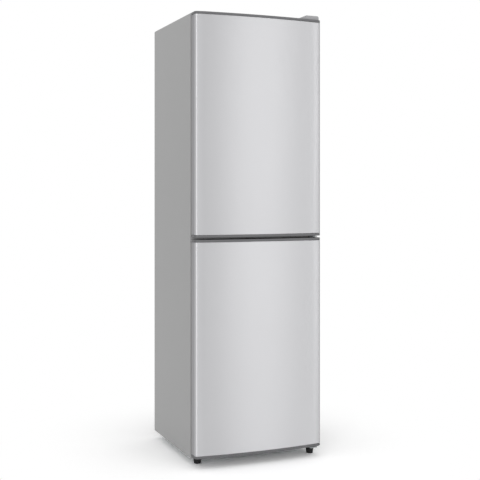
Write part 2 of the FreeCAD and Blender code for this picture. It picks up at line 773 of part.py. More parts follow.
def make_foam():
    """The foam that fills the case between its sheets and the two linings."""
    across = both(half_width - s.case.sheet)
    deep = (liner_front_y + s.liner.wall, case_back_y - s.panel.sheet)
    tall = (s.case.lift + s.base.plate, case_top_z - s.case.sheet)
    filling = block("foam_block", across, deep, tall)
    bay = bay_tool("foam_bay", s.panel.sheet)
    channel = block("foam_channel", both(opening_half), (case_front_y, case_front_y + s.mullion.deep),
                    about(split_z, s.mullion.web))
    sleeve = rod("foam_sleeve", "Z", s.base.sleeve_radius, *left_foot_place,
                 (s.case.lift, s.case.lift + s.base.sleeve_high))
    rear = liner_back_y + s.liner.wall
    pocket = block("foam_plate", both(s.plate.half_wide), (rear, rear + s.plate.thick + s.plate.channel_high),
                   plate_z)
    whole = cut("foam_whole", filling, bay, channel, sleeve, pocket, *liner_solids,
                hose_rod("foam_hose", s.hose.radius), *screw_shanks)
    return slabs("cabinet_foam", whole, foam_walls(across, deep, tall))


def make_evaporator():
    """The cold plate behind the fridge lining, with its refrigerant channel raised on the foam side."""
    rear = liner_back_y + s.liner.wall
    plate = Moulding("evaporator")
    plate.pad("XZ", (rear, rear + s.plate.thick), rectangle(both(s.plate.half_wide), plate_z))
    reach = s.plate.half_wide - s.plate.channel * 2
    raised_y = (rear + s.plate.thick, rear + s.plate.thick + s.plate.channel_high)
    step = plate_high / (plate_rows + 1)
    for row in range(1, plate_rows + 1):
        middle = plate_z[0] + step * row
        plate.pad("XZ", raised_y, rectangle(both(reach), about(middle, s.plate.channel / 2)))
        if row < plate_rows:
            end = reach - s.plate.channel / 2 if row % 2 else s.plate.channel / 2 - reach
            plate.pad("XZ", raised_y, rectangle(about(end, s.plate.channel / 2), (middle, middle + step)))
    return plate.body


compressor_y = case_back_y - s.bay.depth / 2
foot_plate_z = s.case.lift + s.base.plate + s.grommet.high
motor_z = (foot_plate_z + s.compressor.foot_thick, foot_plate_z + s.compressor.foot_thick + s.compressor.high)
tray_z = (motor_z[1], motor_z[1] + s.tray.high)
grommet_places = [
    (-s.compressor.left + (s.compressor.foot_long / 2 - s.grommet.inset) * side,
     compressor_y + (s.compressor.foot_wide / 2 - s.grommet.inset) * way)
    for side in (-1, 1) for way in (-1, 1)
]


def grommet_pins(name):
    """The pins that hold the compressor's rubber mounts down, as tools for their holes."""
    low = s.case.lift
    return [
        rod("%s_%d" % (name, count), "Z", s.grommet.radius / 2, x, y, (low, foot_plate_z + s.grommet.over))
        for count, (x, y) in enumerate(grommet_places)
    ]


def make_compressor():
    """A sealed motor shell of two drawn halves with a welded seam, on a foot plate."""
    middle = -s.compressor.left
    motor = Moulding("compressor_shell", middle, compressor_y, 0)
    long, wide = s.compressor.long / 2, s.compressor.wide / 2
    motor.pad("XY", motor_z, rectangle(both(long), both(wide), s.compressor.round))
    motor.fillet(s.compressor.dome, lambda edge: edge.BoundBox.ZLength < s.panel.sheet.value)
    seam = motor_z[0] + s.compressor.seam_rise
    out = s.compressor.seam_out
    motor.pad("XY", (seam, seam + s.compressor.seam_thick),
              rectangle(both(long + out), both(wide + out), s.compressor.round + out))
    motor.pad("XY", (foot_plate_z, motor_z[0] + s.compressor.dome / 2), rectangle(
        both(long - s.compressor.dome), both(wide - s.compressor.dome), s.compressor.round - s.compressor.dome))
    motor.pad("XY", (foot_plate_z, motor_z[0]), rectangle(
        both(s.compressor.foot_long / 2), both(s.compressor.foot_wide / 2), s.compressor.foot_round))
    return cut("compressor", motor.body, *grommet_pins("foot_plate_hole"))


def make_grommets():
    """Four rubber mounts, waisted where the foot plate sits, with a head above it."""
    low = s.case.lift + s.base.plate
    mounts = []
    for count, (x, y) in enumerate(grommet_places):
        body = rod("mount_body_%d" % count, "Z", s.grommet.radius, x, y, (low, foot_plate_z))
        stem = rod("mount_stem_%d" % count, "Z", s.grommet.radius / 2, x, y,
                   (s.case.lift, foot_plate_z + s.compressor.foot_thick))
        above = foot_plate_z + s.compressor.foot_thick
        head = rod("mount_head_%d" % count, "Z", s.grommet.radius - s.grommet.over / 2, x, y,
                   (above, above + s.grommet.over))
        mounts.append(joined("mount_%d" % count, body, stem, head))
    return group("compressor_grommets", *mounts)


def make_relay_box(compressor):
    """The starter and terminal cover on the compressor's end, with the cord's gland."""
    seat = s.compressor.long / 2 - s.compressor.left
    low = motor_z[0] + s.relay.rise
    high = low + s.relay.high
    end = seat + s.relay.out
    box = Moulding("relay_box_cover")
    box.pad("YZ", (seat + s.compressor.seam_out, end),
            rectangle(about(compressor_y, s.relay.long / 2), (low, high), s.relay.round))
    middle = (low + high) / 2
    box.pad("YZ", (end, end + s.relay.gland_long), ring(compressor_y, middle, s.relay.gland_radius))
    box.pocket("YZ", (end, end + s.relay.gland_long), ring(compressor_y, middle, s.relay.gland_bore))
    neck = block("relay_neck", (seat - s.compressor.seam_out, seat + s.compressor.seam_out * 2),
                 about(compressor_y, s.relay.long / 4), (low + s.relay.round, high - s.relay.round))
    return cut("relay_box", joined("relay_box_whole", box.body, neck), compressor)


def make_drip_tray():
    """A shallow tray on the compressor, whose warmth dries the melt water."""
    tray = Moulding("drip_tray")
    back = case_back_y - s.tray.back
    across = about(-s.compressor.left, s.tray.long / 2)
    deep = (back - s.tray.wide, back)
    wall = s.tray.wall
    tray.pad("XY", tray_z, rectangle(across, deep, s.tray.round))
    tray.pocket("XY", (tray_z[0] + wall, tray_z[1]),
                rectangle(grown(across, -wall), grown(deep, -wall), s.tray.round - wall))
    return tray.body


coil_y = case_back_y + s.coil.stand_off
coil_top_z = case_top_z - s.coil.top_gap
coil_pitch = (coil_top_z - s.coil.low) / (coil_runs - 1)
pipe_x = half_width - s.pipe.side_inset
coil_half = pipe_x - s.pipe.radius - s.coil.aside - s.coil.tube - coil_pitch / 2
post_half = coil_half - s.coil.post_inset


def make_condenser():
    """The serpentine tube with wires over its rear, held off the case by four short posts."""
    pieces = []
    for run in range(coil_runs):
        z = s.coil.low + coil_pitch * run
        pieces.append(rod("coil_run_%d" % run, "X", s.coil.tube, both(coil_half), coil_y, z))
        if run + 1 < coil_runs:
            bend = doc.addObject("Part::Torus", "coil_bend_%d" % run)
            bind(bend, "Radius1", coil_pitch / 2)
            bind(bend, "Radius2", s.coil.tube)
            bend.Angle3 = 180
            right = run % 2 == 0
            tilt = FreeCAD.Rotation(FreeCAD.Vector(1, 0, 0), 90)
            turn = FreeCAD.Rotation(FreeCAD.Vector(0, 0, 1), -90 if right else 90)
            bend.Placement.Rotation = tilt * turn
            move(bend, coil_half if right else -coil_half, coil_y, z + coil_pitch / 2)
            pieces.append(bend)
    for count, (side, run) in enumerate(((-1, 1), (1, 1), (-1, coil_runs - 2), (1, coil_runs - 2))):
        pieces.append(rod("coil_post_%d" % count, "Y", s.coil.stand_radius, post_half * side,
                          (case_back_y, coil_y), s.coil.low + coil_pitch * run))
    wire_pitch = post_half * 2 / (coil_wires - 1)
    wire_y = coil_y + s.coil.tube + s.coil.wire_gap + s.coil.wire
    wires = [
        rod("coil_wire_%d" % wire, "Z", s.coil.wire, wire_pitch * wire - post_half, wire_y,
            (s.coil.low - s.coil.margin, coil_top_z + s.coil.margin))
        for wire in range(coil_wires)
    ]
    return group("condenser", joined("coil_tube", *pieces), *wires)


def pipe_along(name, radius, bend, points):
    """A tube through points, with an arc of one radius at each turn between them."""
    places = [FreeCAD.Vector(*[plain(value) for value in point]) for point in points]
    curve = plain(bend)
    edges, start = [], places[0]
    for before, here, after in zip(places, places[1:], places[2:]):
        back = (before - here).normalize()
        on = (after - here).normalize()
        half = back.getAngle(on) / 2
        reach = curve / math.tan(half)
        middle = here + (back + on).normalize() * (curve / math.sin(half) - curve)
        edges.append(Part.LineSegment(start, here + back * reach).toShape())
        edges.append(Part.Arc(here + back * reach, middle, here + on * reach).toShape())
        start = here + on * reach
    edges.append(Part.LineSegment(start, places[-1]).toShape())
    ring_wire = Part.Wire(Part.makeCircle(plain(radius), places[0], places[1] - places[0]))
    tube = doc.addObject("Part::Feature", name)
    tube.Shape = Part.Wire(edges).makePipeShell([ring_wire], True, False)
    return tube


def make_pipes():
    """Discharge pipe, return pipe with its drier, and suction pipe, as three separate lengths."""
    end_x = -s.compressor.left - s.compressor.long / 2
    mid_z = motor_z[0] + s.compressor.high / 2
    radius, bend = s.pipe.radius, s.pipe.bend
    hot = pipe_along("discharge_pipe", radius, bend, [
        (end_x, compressor_y, mid_z), (-pipe_x, compressor_y, mid_z), (-pipe_x, coil_y, mid_z),
        (-pipe_x, coil_y, s.coil.low), (-coil_half, coil_y, s.coil.low),
    ])
    back = compressor_y - s.pipe.out
    warm = pipe_along("return_pipe", radius, bend, [
        (coil_half, coil_y, coil_top_z), (pipe_x, coil_y, coil_top_z), (pipe_x, coil_y, mid_z),
        (pipe_x, back, mid_z), (pipe_x, back, bay_top_z),
    ])
    drier = rod("drier", "Y", s.pipe.drier_radius, pipe_x, about(compressor_y + bend, s.pipe.drier_long / 2),
                mid_z)
    warm_low = joined("return_pipe_with_drier", warm, drier)
    cold_z = mid_z + s.compressor.seam_rise / 2
    reach = -s.compressor.left - s.tray.long / 2 - s.pipe.drier_radius
    cold = pipe_along("suction_pipe", radius, bend, [
        (end_x, compressor_y, cold_z), (reach, compressor_y, cold_z), (reach, compressor_y, bay_top_z),
    ])
    return group("refrigerant_pipes", hot, warm_low, cold)


def make_spacers():
    """Two stops that keep the condenser off the wall behind."""
    top = case_top_z - s.spacer.drop
    low = top - s.spacer.high
    stops = []
    for name, side in (("left", -1), ("right", 1)):
        inner = (half_width - s.spacer.inset - s.spacer.wide) * side
        outer = (half_width - s.spacer.inset) * side
        stops.append(slab("spacer_" + name, "YZ", (inner, outer) if side > 0 else (outer, inner), polygon(
            (case_back_y, low), (rear_y, low + s.spacer.taper), (rear_y, top - s.spacer.taper), (case_back_y, top),
        )))
    return group("wall_spacers", *stops)


def nosed(x, y):
    """The outline of a hinge plate, rounded at its front."""
    return [
        corner(x[0], y[0], s.hinge.nose_round), corner(x[1], y[0], s.hinge.nose_round),
        corner(x[1], y[1]), corner(x[0], y[1]),
    ]


hinge_across = about(hinge_x, s.hinge.half_wide)
nose_y = hinge_y - s.hinge.nose


def make_top_hinge():
    plate = Moulding("top_hinge_plate")
    plate.pad("XY", top_plate_z, nosed(hinge_across, (nose_y, case_front_y + s.hinge.tail)))
    plate.pad("XY", (upper_door_top_z - s.hinge.pin_deep, top_plate_z[0]), ring(hinge_x, hinge_y, s.hinge.pin_radius))
    return cut("top_hinge", plate.body, *screw_shanks)


def make_middle_hinge():
    """A tongue in the gap between the doors, with a pin up and a pin down, on a flange screwed to the case."""
    tongue_z = about(split_z, s.hinge.plate / 2)
    plate = Moulding("middle_hinge_plate")
    plate.pad("XY", tongue_z, nosed(hinge_across, (nose_y, case_front_y)))
    plate.pad("XZ", flange_y, rectangle(hinge_across, about(split_z, s.hinge.flange_half)))
    plate.pad("XY", (lower_door_top_z - s.hinge.pin_deep, upper_door_z + s.hinge.pin_deep),
              ring(hinge_x, hinge_y, s.hinge.pin_radius))
    return cut("middle_hinge", plate.body, *screw_shanks)


def make_bottom_hinge():
    """The lowest plate: it carries the lower door's pin, and the front foot in a boss."""
    wing = (hinge_x - s.hinge.foot_wing, hinge_across[1])
    plate = Moulding("bottom_hinge_plate")
    plate.pad("XY", bottom_plate_z, nosed(wing, (nose_y, case_front_y + s.hinge.tail)))
    plate.pad("XY", (bottom_plate_z[1], bottom_plate_z[1] + s.hinge.boss_high),
              ring(*right_foot_place, s.hinge.boss_radius))
    plate.pad("XY", (bottom_plate_z[1], lower_door_z + s.hinge.pin_deep), ring(hinge_x, hinge_y, s.hinge.pin_radius))
    plate.pocket("XY", (bottom_plate_z[0], bottom_plate_z[1] + s.hinge.boss_high),
                 ring(*right_foot_place, s.foot.stud_bore))
    front = block("boss_trim", wing, (case_front_y, case_front_y + s.hinge.tail),
                  (bottom_plate_z[1], bottom_plate_z[1] + s.hinge.boss_high))
    return cut("bottom_hinge", plate.body, front, *screw_shanks)


def make_hinge_cover():
    """The moulded cap over the top hinge, ramped on its inner side."""
    x = (half_width - s.cover.edge - s.cover.wide, half_width - s.cover.edge)
    y = (hinge_y - s.cover.nose, case_front_y + s.cover.tail)
    top = case_top_z + s.cover.high
    cover = Moulding("top_hinge_cover")
    cover.pad("XZ", y, [
        corner(x[0], case_top_z), corner(x[1], case_top_z), corner(x[1], top, s.cover.round),
        corner(x[0] + s.cover.ramp, top),
    ])
    cover.fillet(s.cover.soften, lambda edge: edge.BoundBox.YLength < s.panel.sheet.value
                 and edge.BoundBox.YMax < crease_y.value + s.door.thick.value
                 and edge.BoundBox.ZMin > case_top_z.value + s.cover.wall.value)
    wall = s.cover.wall
    cover.pocket("XY", (case_top_z, top - wall), rectangle(
        (x[0] + s.cover.ramp, x[1] - wall), grown(y, -wall), s.cover.round - wall))
    return cover.body


def door_plan(name, level):
    """The plan of a door skin: a bowed front between two bevels, with rounded corners."""
    crease = half_width - s.door.bevel_wide
    back = door_back_y - s.liner.wall
    shoulder = crease_y + s.door.bevel_fall
    return outline(name, "XY", level, [
        bulging(-crease, crease_y, s.door.bow), corner(crease, crease_y),
        corner(half_width, shoulder, s.door.round), corner(half_width, back),
        corner(-half_width, back), corner(-half_width, shoulder, s.door.round),
    ])


def make_cap(name, span, floor_low):
    """The moulded end of a door: a rim and floor, ribs inside, and a bored boss on the hinge side."""
    low, high = span
    hollow_z = (low + s.cap.floor, high) if floor_low else (low, high - s.cap.floor)
    outer = raised(name + "_outer", offset(name + "_rim", door_plan(name + "_plan", low), s.door.proud), high - low)
    hollow_plan = offset(name + "_hollow_edge", door_plan(name + "_hollow_plan", hollow_z[0]), -s.cap.wall)
    tray = cut(name + "_tray", outer, raised(name + "_hollow", hollow_plan, hollow_z[1] - hollow_z[0]))
    ribs = [
        block("%s_rib_%d" % (name, count), about(s.cap.rib_pitch * (count - (cap_ribs - 1) / 2), s.cap.rib / 2),
              (crease_y - s.door.bow / 2, door_back_y - s.liner.wall), span)
        for count in range(cap_ribs)
    ]
    boss_z = (low, low + s.cap.boss_long) if floor_low else (high - s.cap.boss_long, high)
    boss = rod(name + "_boss", "Z", s.cap.boss_radius, hinge_x, hinge_y, boss_z)
    bore_z = (low, low + s.hinge.bore_deep) if floor_low else (high - s.hinge.bore_deep, high)
    bore = rod(name + "_bore", "Z", s.hinge.bore_radius, hinge_x, hinge_y, bore_z)
    return cut(name, joined(name + "_ribbed", tray, *ribs, boss), bore), boss


def bin_floor(count, pan_z):
    return pan_z[0] + s.bin.rise + (pan_z[1] - pan_z[0]) * bin_pitch_share * count


def make_seal(name, z, z_top):
    """The magnetic seal: a soft frame with a foot on the lining and a bulb that meets the case."""
    x = both(half_width - s.seal.side_inset)
    tall = (z + s.seal.end_inset, z_top - s.seal.end_inset)
    inner = grown(x, -s.seal.wide), grown(tall, -s.seal.wide)
    foot = grown(inner[0], -s.seal.foot), grown(inner[1], -s.seal.foot)
    seal = Moulding(name + "_seal")
    seal.pad("XZ", (door_back_y, case_front_y), rectangle(x, tall, s.seal.round), rectangle(*inner))
    seal.pad("XZ", (door_back_y, door_back_y + s.seal.foot_thick), rectangle(*grown_pair(inner, s.seal.wide / 2)),
             rectangle(*foot))
    return seal.body


def grown_pair(spans, by):
    return grown(spans[0], by), grown(spans[1], by)


def make_bin(name, count, pan_x, pan_z):
    """An open door bin that hangs on the lining's lugs by a hook along each side, as slabs face to face."""
    low = bin_floor(count, pan_z)
    top = low + s.bin.high
    half = pan_x[1] - s.plug.lug_out - s.bin.gap
    y = (pan_y + s.bin.gap, pan_y + s.bin.gap + s.bin.deep)
    wall = s.bin.wall
    whole = Moulding(name + "_moulding")
    whole.pad("XY", (low, top), rectangle(both(half), y, s.bin.round))
    whole.pocket("XY", (low + wall, top), rectangle(both(half - wall), grown(y, -wall), s.bin.round - wall))
    for x in ((half - wall, half + s.plug.lug_out), (-half - s.plug.lug_out, wall - half)):
        whole.pad("XY", (top - s.bin.hook, top), rectangle(x, lug_y()))
    return slabs(name, whole.body, bin_walls(half, y, (low, top)))


def bin_walls(half, y, z):
    """The floor, walls and hooks of a bin, with each rounded corner between its walls in two halves."""
    straight = grown(y, -s.bin.round)
    inner = half - s.bin.round
    bend = inner + (s.bin.round - s.bin.wall) * half_arc
    upright = (z[0] + s.bin.wall, z[1])
    walls = [(both(half), y, (z[0], upright[0]))]
    for deep in ((y[0], straight[0]), (straight[1], y[1])):
        walls.append((both(inner), deep, upright))
        for near, far in ((inner, bend), (bend, half)):
            walls += [((near, far), deep, upright), ((-far, -near), deep, upright)]
    for side in ((inner, half), (-half, -inner)):
        walls.append((side, straight, upright))
    reach = half + s.plug.lug_out
    for hook in ((half, reach), (-reach, -half)):
        walls.append((hook, lug_y(), (z[1] - s.bin.hook, z[1])))
    return walls


def lug_y():
    return (door_back_y - s.plug.lug_deep / 2, door_back_y + s.plug.lug_deep / 2)


def door_walls(skin_z, pan_x, pan_z, back):
    """The front of a door, and the frame round the pan in its lining, in front of and behind the lining's flange."""
    across = both(half_width)
    inner, straight = pan_x[1] - s.plug.round, grown(pan_z, -s.plug.round)
    ends = ((across[0], -inner), (inner, across[1]))
    sides = ((across[0], pan_x[0]), (pan_x[1], across[1]))
    walls = [(across, (crease_y - s.door.bow, pan_y - s.liner.wall), skin_z)]
    for deep in ((pan_y - s.liner.wall, back), (back, plug_back_y)):
        walls += [(both(inner), deep, (skin_z[0], pan_z[0])), (both(inner), deep, (pan_z[1], skin_z[1]))]
        for end, side in zip(ends, sides):
            walls += [
                (end, deep, (skin_z[0], straight[0])), (side, deep, straight),
                (end, deep, (straight[1], skin_z[1])),
            ]
    return walls


def make_door(name, z, z_top, space, bins):
    """The pieces of one door, from its skin to its seal, and its bins if it has them."""
    skin_z = (z + s.door.cap, z_top - s.door.cap)
    high = skin_z[1] - skin_z[0]
    wall = s.liner.wall
    back = door_back_y - wall
    plan = door_plan(name + "_plan", skin_z[0])
    inside = raised(name + "_inside", offset(name + "_inner_plan", plan, -s.door.sheet), high)
    mouth = block(name + "_mouth", both(half_width - s.door.hem), (back - s.door.sheet * 2, back + s.door.sheet),
                  skin_z)
    skin = cut(name + "_skin", raised(name + "_sheet", plan, high), inside, mouth)
    top_cap, top_boss = make_cap(name + "_top_cap", (skin_z[1], z_top), False)
    bottom_cap, bottom_boss = make_cap(name + "_bottom_cap", (z, skin_z[0]), True)

    plug_x, plug_z = both(opening_half - s.plug.gap), grown(space, -s.plug.gap)
    pan_x, pan_z = grown(plug_x, -s.plug.rim), grown(plug_z, -s.plug.rim)
    flange = block(name + "_flange", both(half_width - s.plug.edge), (back, door_back_y), skin_z)
    rim = slab(name + "_rim", "XZ", (back, plug_back_y), rectangle(plug_x, plug_z, s.plug.round))
    pan_skin_outline = rectangle(grown(pan_x, wall), grown(pan_z, wall), s.plug.round)
    pan_skin = slab(name + "_pan_skin", "XZ", (pan_y - wall, plug_back_y), pan_skin_outline)
    pan = slab(name + "_pan", "XZ", (pan_y, plug_back_y + wall), rectangle(pan_x, pan_z, s.plug.round - wall))
    groove = cut(
        name + "_groove",
        slab(name + "_groove_outside", "XZ", (back - s.door.sheet, plug_back_y - wall),
             rectangle(grown(plug_x, -wall), grown(plug_z, -wall), s.plug.round - wall)),
        pan_skin,
    )
    lugs = []
    for count in range(bins):
        rest = bin_floor(count, pan_z) + s.bin.high - s.bin.hook
        for side, x in (
            ("left", (pan_x[0], pan_x[0] + s.plug.lug_out)), ("right", (pan_x[1] - s.plug.lug_out, pan_x[1])),
        ):
            lugs.append(block("%s_lug_%s_%d" % (name, side, count), x, lug_y(), (rest - s.plug.lug_high, rest)))
    form = joined(name + "_form", flange, rim, pan_skin)
    if lugs:
        liner = joined(name + "_liner", cut(name + "_tub", form, pan, groove), *lugs)
    else:
        liner = cut(name + "_liner", form, pan, groove)
    filling = cut(name + "_foam_whole", joined(name + "_filled", inside, groove), pan_skin, top_boss, bottom_boss)
    foam = slabs(name + "_foam", filling, door_walls(skin_z, grown(pan_x, wall), grown(pan_z, wall), back))
    made = [skin, top_cap, bottom_cap, liner, foam, make_seal(name, z, z_top)]
    for count in range(bins):
        made.append(make_bin("door_bin_%d" % (count + 1), count, pan_x, pan_z))
    return made


def make_shelves():
    """Glass shelves with a moulded front edge, and the glass lid over the crisper."""
    made = []
    across = both(opening_half - s.shelf.side_gap)
    front, wall, deep = shelf_front_y, s.shelf.trim_wall, s.shelf.trim_deep
    for name, low in shelf_z.items():
        top = low + s.shelf.glass
        label = "crisper_lid" if name == "lid" else "shelf_glass_" + name
        made.append(block(label, across, (front + wall, shelf_back_y), (low, top)))
        if name == "lid":
            continue
        made.append(slab("shelf_trim_" + name, "YZ", across, polygon(
            (front, low - s.shelf.trim_drop), (front + wall, low - s.shelf.trim_drop), (front + wall, low - wall),
            (front + deep, low - wall), (front + deep, low), (front + wall, low), (front + wall, top),
            (front + deep, top), (front + deep, top + wall), (front, top + wall),
        )))
    for name, low in freezer_shelf_z.items():
        made.append(block("freezer_shelf_" + name, across,
                          (freezer_front_y + s.drawer.panel * 2, shelf_back_y), (low, low + s.shelf.glass)))
    return made


def grip_outline(front, top, out, high, wall):
    """The side view of a drawer's pull, which hooks down in front of its face."""
    return polygon(
        (front + wall, top - wall), (front + wall, top), (front - out, top), (front - out, top - high),
        (front - out + wall, top - high), (front - out + wall, top - wall),
    )


def make_crisper():
    """The deep tray under the fridge's lowest shelf."""
    low = fridge_z[0] + s.drawer.lift
    top = fridge_z[0] + s.crisper.high
    wall = s.crisper.wall
    x = both(opening_half - s.liner.round)
    y = (case_front_y + s.crisper.front, liner_back_y - s.crisper.rear_gap)
    crisper = Moulding("crisper_drawer")
    crisper.pad("XY", (low, top), rectangle(x, y, s.crisper.round))
    crisper.pocket("XY", (low + wall, top), rectangle(grown(x, -wall), grown(y, -wall), s.crisper.round - wall))
    crisper.pad("YZ", both(opening_half / 2), grip_outline(y[0], top, s.crisper.grip_out, s.crisper.grip_high, wall))
    return crisper.body


def make_drawer(name, low, top, back):
    """A freezer drawer: a tray with a taller front that carries the pull."""
    wall = s.drawer.wall
    front = freezer_front_y
    face_y = (front, front + s.drawer.panel)
    x = both(opening_half - s.liner.round)
    y = (front + s.drawer.panel - wall, back)
    rim = top - s.drawer.tray_drop
    drawer = Moulding("freezer_drawer_" + name)
    drawer.pad("XY", (low, rim), rectangle(x, y))
    drawer.pad("XZ", face_y, rectangle(both(opening_half - s.drawer.side_gap), (low, top), s.liner.round))
    drawer.pocket("XY", (low + wall, rim), rectangle(
        grown(x, -wall), (face_y[1], back - wall), s.drawer.round))
    drawer.pad("YZ", both(opening_half / 2), grip_outline(front, top - s.drawer.top_gap, s.drawer.grip_out,
                                                          s.drawer.grip_high, wall))
    return drawer.body


def make_drawers():
    lift, gap, glass = s.drawer.lift, s.drawer.top_gap, s.shelf.glass
    full = liner_back_y - s.drawer.rear_gap
    short = bay_front_y - s.case.wall - s.drawer.step_gap
    lower, upper = freezer_shelf_z["lower"], freezer_shelf_z["upper"]
    return [
        make_drawer("lower", freezer_z[0] + lift, lower - gap, short),
        make_drawer("middle", lower + glass + lift, upper - gap, full),
        make_drawer("upper", upper + glass + lift, freezer_z[1] - gap, full),
    ]


control_y = (case_front_y + s.control.front, case_front_y + s.control.front + s.control.wide)
control_z = (fridge_z[1] - s.control.high, fridge_z[1])
control_middle_y = (control_y[0] + control_y[1]) / 2
lamp_outline = rectangle(about(-s.lamp.aside, s.lamp.long / 2), about(control_middle_y, s.lamp.wide / 2),
                         s.lamp.round)


def make_control_housing():
    """The ceiling housing for thermostat and lamp, open upwards against the lining."""
    wall = s.control.wall
    x = both(s.control.long / 2)
    housing = Moulding("control_housing")
    housing.pad("XY", control_z, rectangle(x, control_y, s.control.round))
    housing.pocket("XY", (control_z[0] + wall, control_z[1]),
                   rectangle(grown(x, -wall), grown(control_y, -wall), s.control.round - wall))
    housing.pocket("XY", (control_z[0], control_z[0] + wall), lamp_outline)
    housing.pocket("XY", (control_z[0], control_z[0] + wall), ring(s.knob.aside, control_middle_y, s.knob.stem_bore))
    return housing.body


def make_lamp_lens():
    lens = Moulding("lamp_lens")
    high = control_z[0] + s.control.wall
    lens.pad("XY", (high - s.lamp.thick, high), lamp_outline)
    return lens.body


def make_knob():
    """The thermostat knob: a tapered disc with a grip bar below and its stem above."""
    knob = Moulding("thermostat_knob", s.knob.aside, control_middle_y, control_z[0] - s.knob.gap)
    tip = s.knob.radius - s.knob.taper
    knob.revolve(polygon(
        (0, -s.knob.high), (tip, -s.knob.high), (s.knob.radius, 0), (s.knob.stem, 0),
        (s.knob.stem, s.knob.stem_long), (0, s.knob.stem_long),
    ))
    knob.pad("XY", (-s.knob.high - s.knob.grip, -s.knob.high), rectangle(both(s.knob.grip / 2), both(tip)))
    return knob.body


def make_light_switch():
    return rod("light_switch", "Y", s.switch.radius, switch_x, (switch_tip_y, switch_tip_y + s.switch.long), switch_z)


fridge_liner, fridge_solids = make_fridge_liner()
freezer_liner, freezer_solids = make_freezer_liner()
liner_solids = fridge_solids + freezer_solids
compressor = make_compressor()

subparts = [
    hinge_screws, make_cabinet_shell(), make_back_panel(), make_foam(), fridge_liner, freezer_liner,
    make_mullion_rail(), make_base_frame(), make_roller_axles(), make_evaporator(), compressor, make_grommets(),
    make_relay_box(compressor), make_drip_tray(), make_drain_hose(), make_condenser(), make_pipes(), make_spacers(),
    make_top_hinge(), make_hinge_cover(), make_middle_hinge(), make_bottom_hinge(),
    make_control_housing(), make_lamp_lens(), make_knob(), make_light_switch(), make_crisper(),
    make_roller("left_roller", -1), make_roller("right_roller", 1),
    make_foot("left_foot", left_foot_place), make_foot("right_foot", right_foot_place),
    make_stud("left_foot_stud", left_foot_place, s.foot.stud_left),
    make_stud("right_foot_stud", right_foot_place, s.foot.stud_right),
]
subparts += make_shelves() + make_drawers()
subparts += make_door("lower_door", lower_door_z, lower_door_top_z, freezer_z, 0)
subparts += make_door("upper_door", upper_door_z, upper_door_top_z, fridge_z, 3)

doc.recompute()
for thing in doc.Objects:
    faults = {"Invalid", "Error"} & set(thing.State)
    if faults:
        raise RuntimeError("%s failed: %s" % (thing.Name, thing.State))
os.makedirs("parts", exist_ok=True)
for piece in subparts:
    shape = piece.Shape
    if shape.isNull() or not shape.isValid() or not shape.Solids:
        raise RuntimeError("%s has no sound shape" % piece.Label)
    shape.exportStep("parts/%s.step" % piece.Label)
print("%d sub-parts written" % len(subparts))
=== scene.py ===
import json
import math

import bmesh
import bpy
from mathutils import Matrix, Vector


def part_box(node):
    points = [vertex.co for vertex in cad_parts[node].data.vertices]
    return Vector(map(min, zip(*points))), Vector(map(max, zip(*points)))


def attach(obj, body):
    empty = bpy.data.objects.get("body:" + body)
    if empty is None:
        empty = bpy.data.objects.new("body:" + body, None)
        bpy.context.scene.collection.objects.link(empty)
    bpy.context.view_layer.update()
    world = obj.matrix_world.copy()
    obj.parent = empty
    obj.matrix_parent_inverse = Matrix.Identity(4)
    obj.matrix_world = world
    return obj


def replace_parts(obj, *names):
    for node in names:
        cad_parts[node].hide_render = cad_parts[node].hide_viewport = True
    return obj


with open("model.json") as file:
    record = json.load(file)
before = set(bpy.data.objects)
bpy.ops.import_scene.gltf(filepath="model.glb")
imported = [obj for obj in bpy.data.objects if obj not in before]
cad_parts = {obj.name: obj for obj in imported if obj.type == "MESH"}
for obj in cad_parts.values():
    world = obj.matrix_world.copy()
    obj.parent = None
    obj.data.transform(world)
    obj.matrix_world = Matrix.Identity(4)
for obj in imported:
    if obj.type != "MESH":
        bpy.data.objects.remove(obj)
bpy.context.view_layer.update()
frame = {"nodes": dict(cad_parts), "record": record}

# Two-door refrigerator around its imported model. Metres, +Z up, doors face -Y, hinges on +X.
# The pieces' settings hold millimetres, counts and shares; spans and places are metres.

nodes = frame["nodes"]
bodyOf = {node: body for body, members in frame["record"]["behaviour"]["bodies"].items() for node in members}
slotOf = {entry["node"]: entry["material_slot"] for entry in frame["record"]["subparts"]}
mm = 0.001
scene = bpy.context.scene
print("model loaded:", len(nodes), "nodes")


# Camera, fitted to the edges of the case, the doors and the feet
camera = {
    "place": (-1.5187, -3.7773, 1.0883), "turn": 22.28, "lens": 71.04, "sensor": 36,
    "shiftDown": 0.1002,    # the photo was framed with its horizon above the middle
}


def makeCamera():
    data = bpy.data.cameras.new("photoCamera")
    data.lens = camera["lens"]
    data.sensor_width = camera["sensor"]
    data.shift_y = -camera["shiftDown"]
    eye = bpy.data.objects.new("photoCamera", data)
    eye.location = camera["place"]
    eye.rotation_euler = (math.pi / 2, 0, -math.radians(camera["turn"]))
    scene.collection.objects.link(eye)
    scene.camera = eye


makeCamera()
print("camera set")


# Finishes. Colours are sRGB hex values, pattern sizes are real millimetres.
def linear(hexColour):
    parts = [int(hexColour[at:at + 2], 16) / 255 for at in (1, 3, 5)]
    return [part / 12.92 if part <= 0.04045 else ((part + 0.055) / 1.055) ** 2.4 for part in parts] + [1]


def addNode(tree, kind, settings, links=()):
    node = tree.nodes.new(kind)
    for name, value in settings.items():
        if hasattr(node, name):
            setattr(node, name, value)
        else:
            node.inputs[name].default_value = value
    for name, (source, output) in dict(links).items():
        tree.links.new(source.outputs[output], node.inputs[name])
    return node


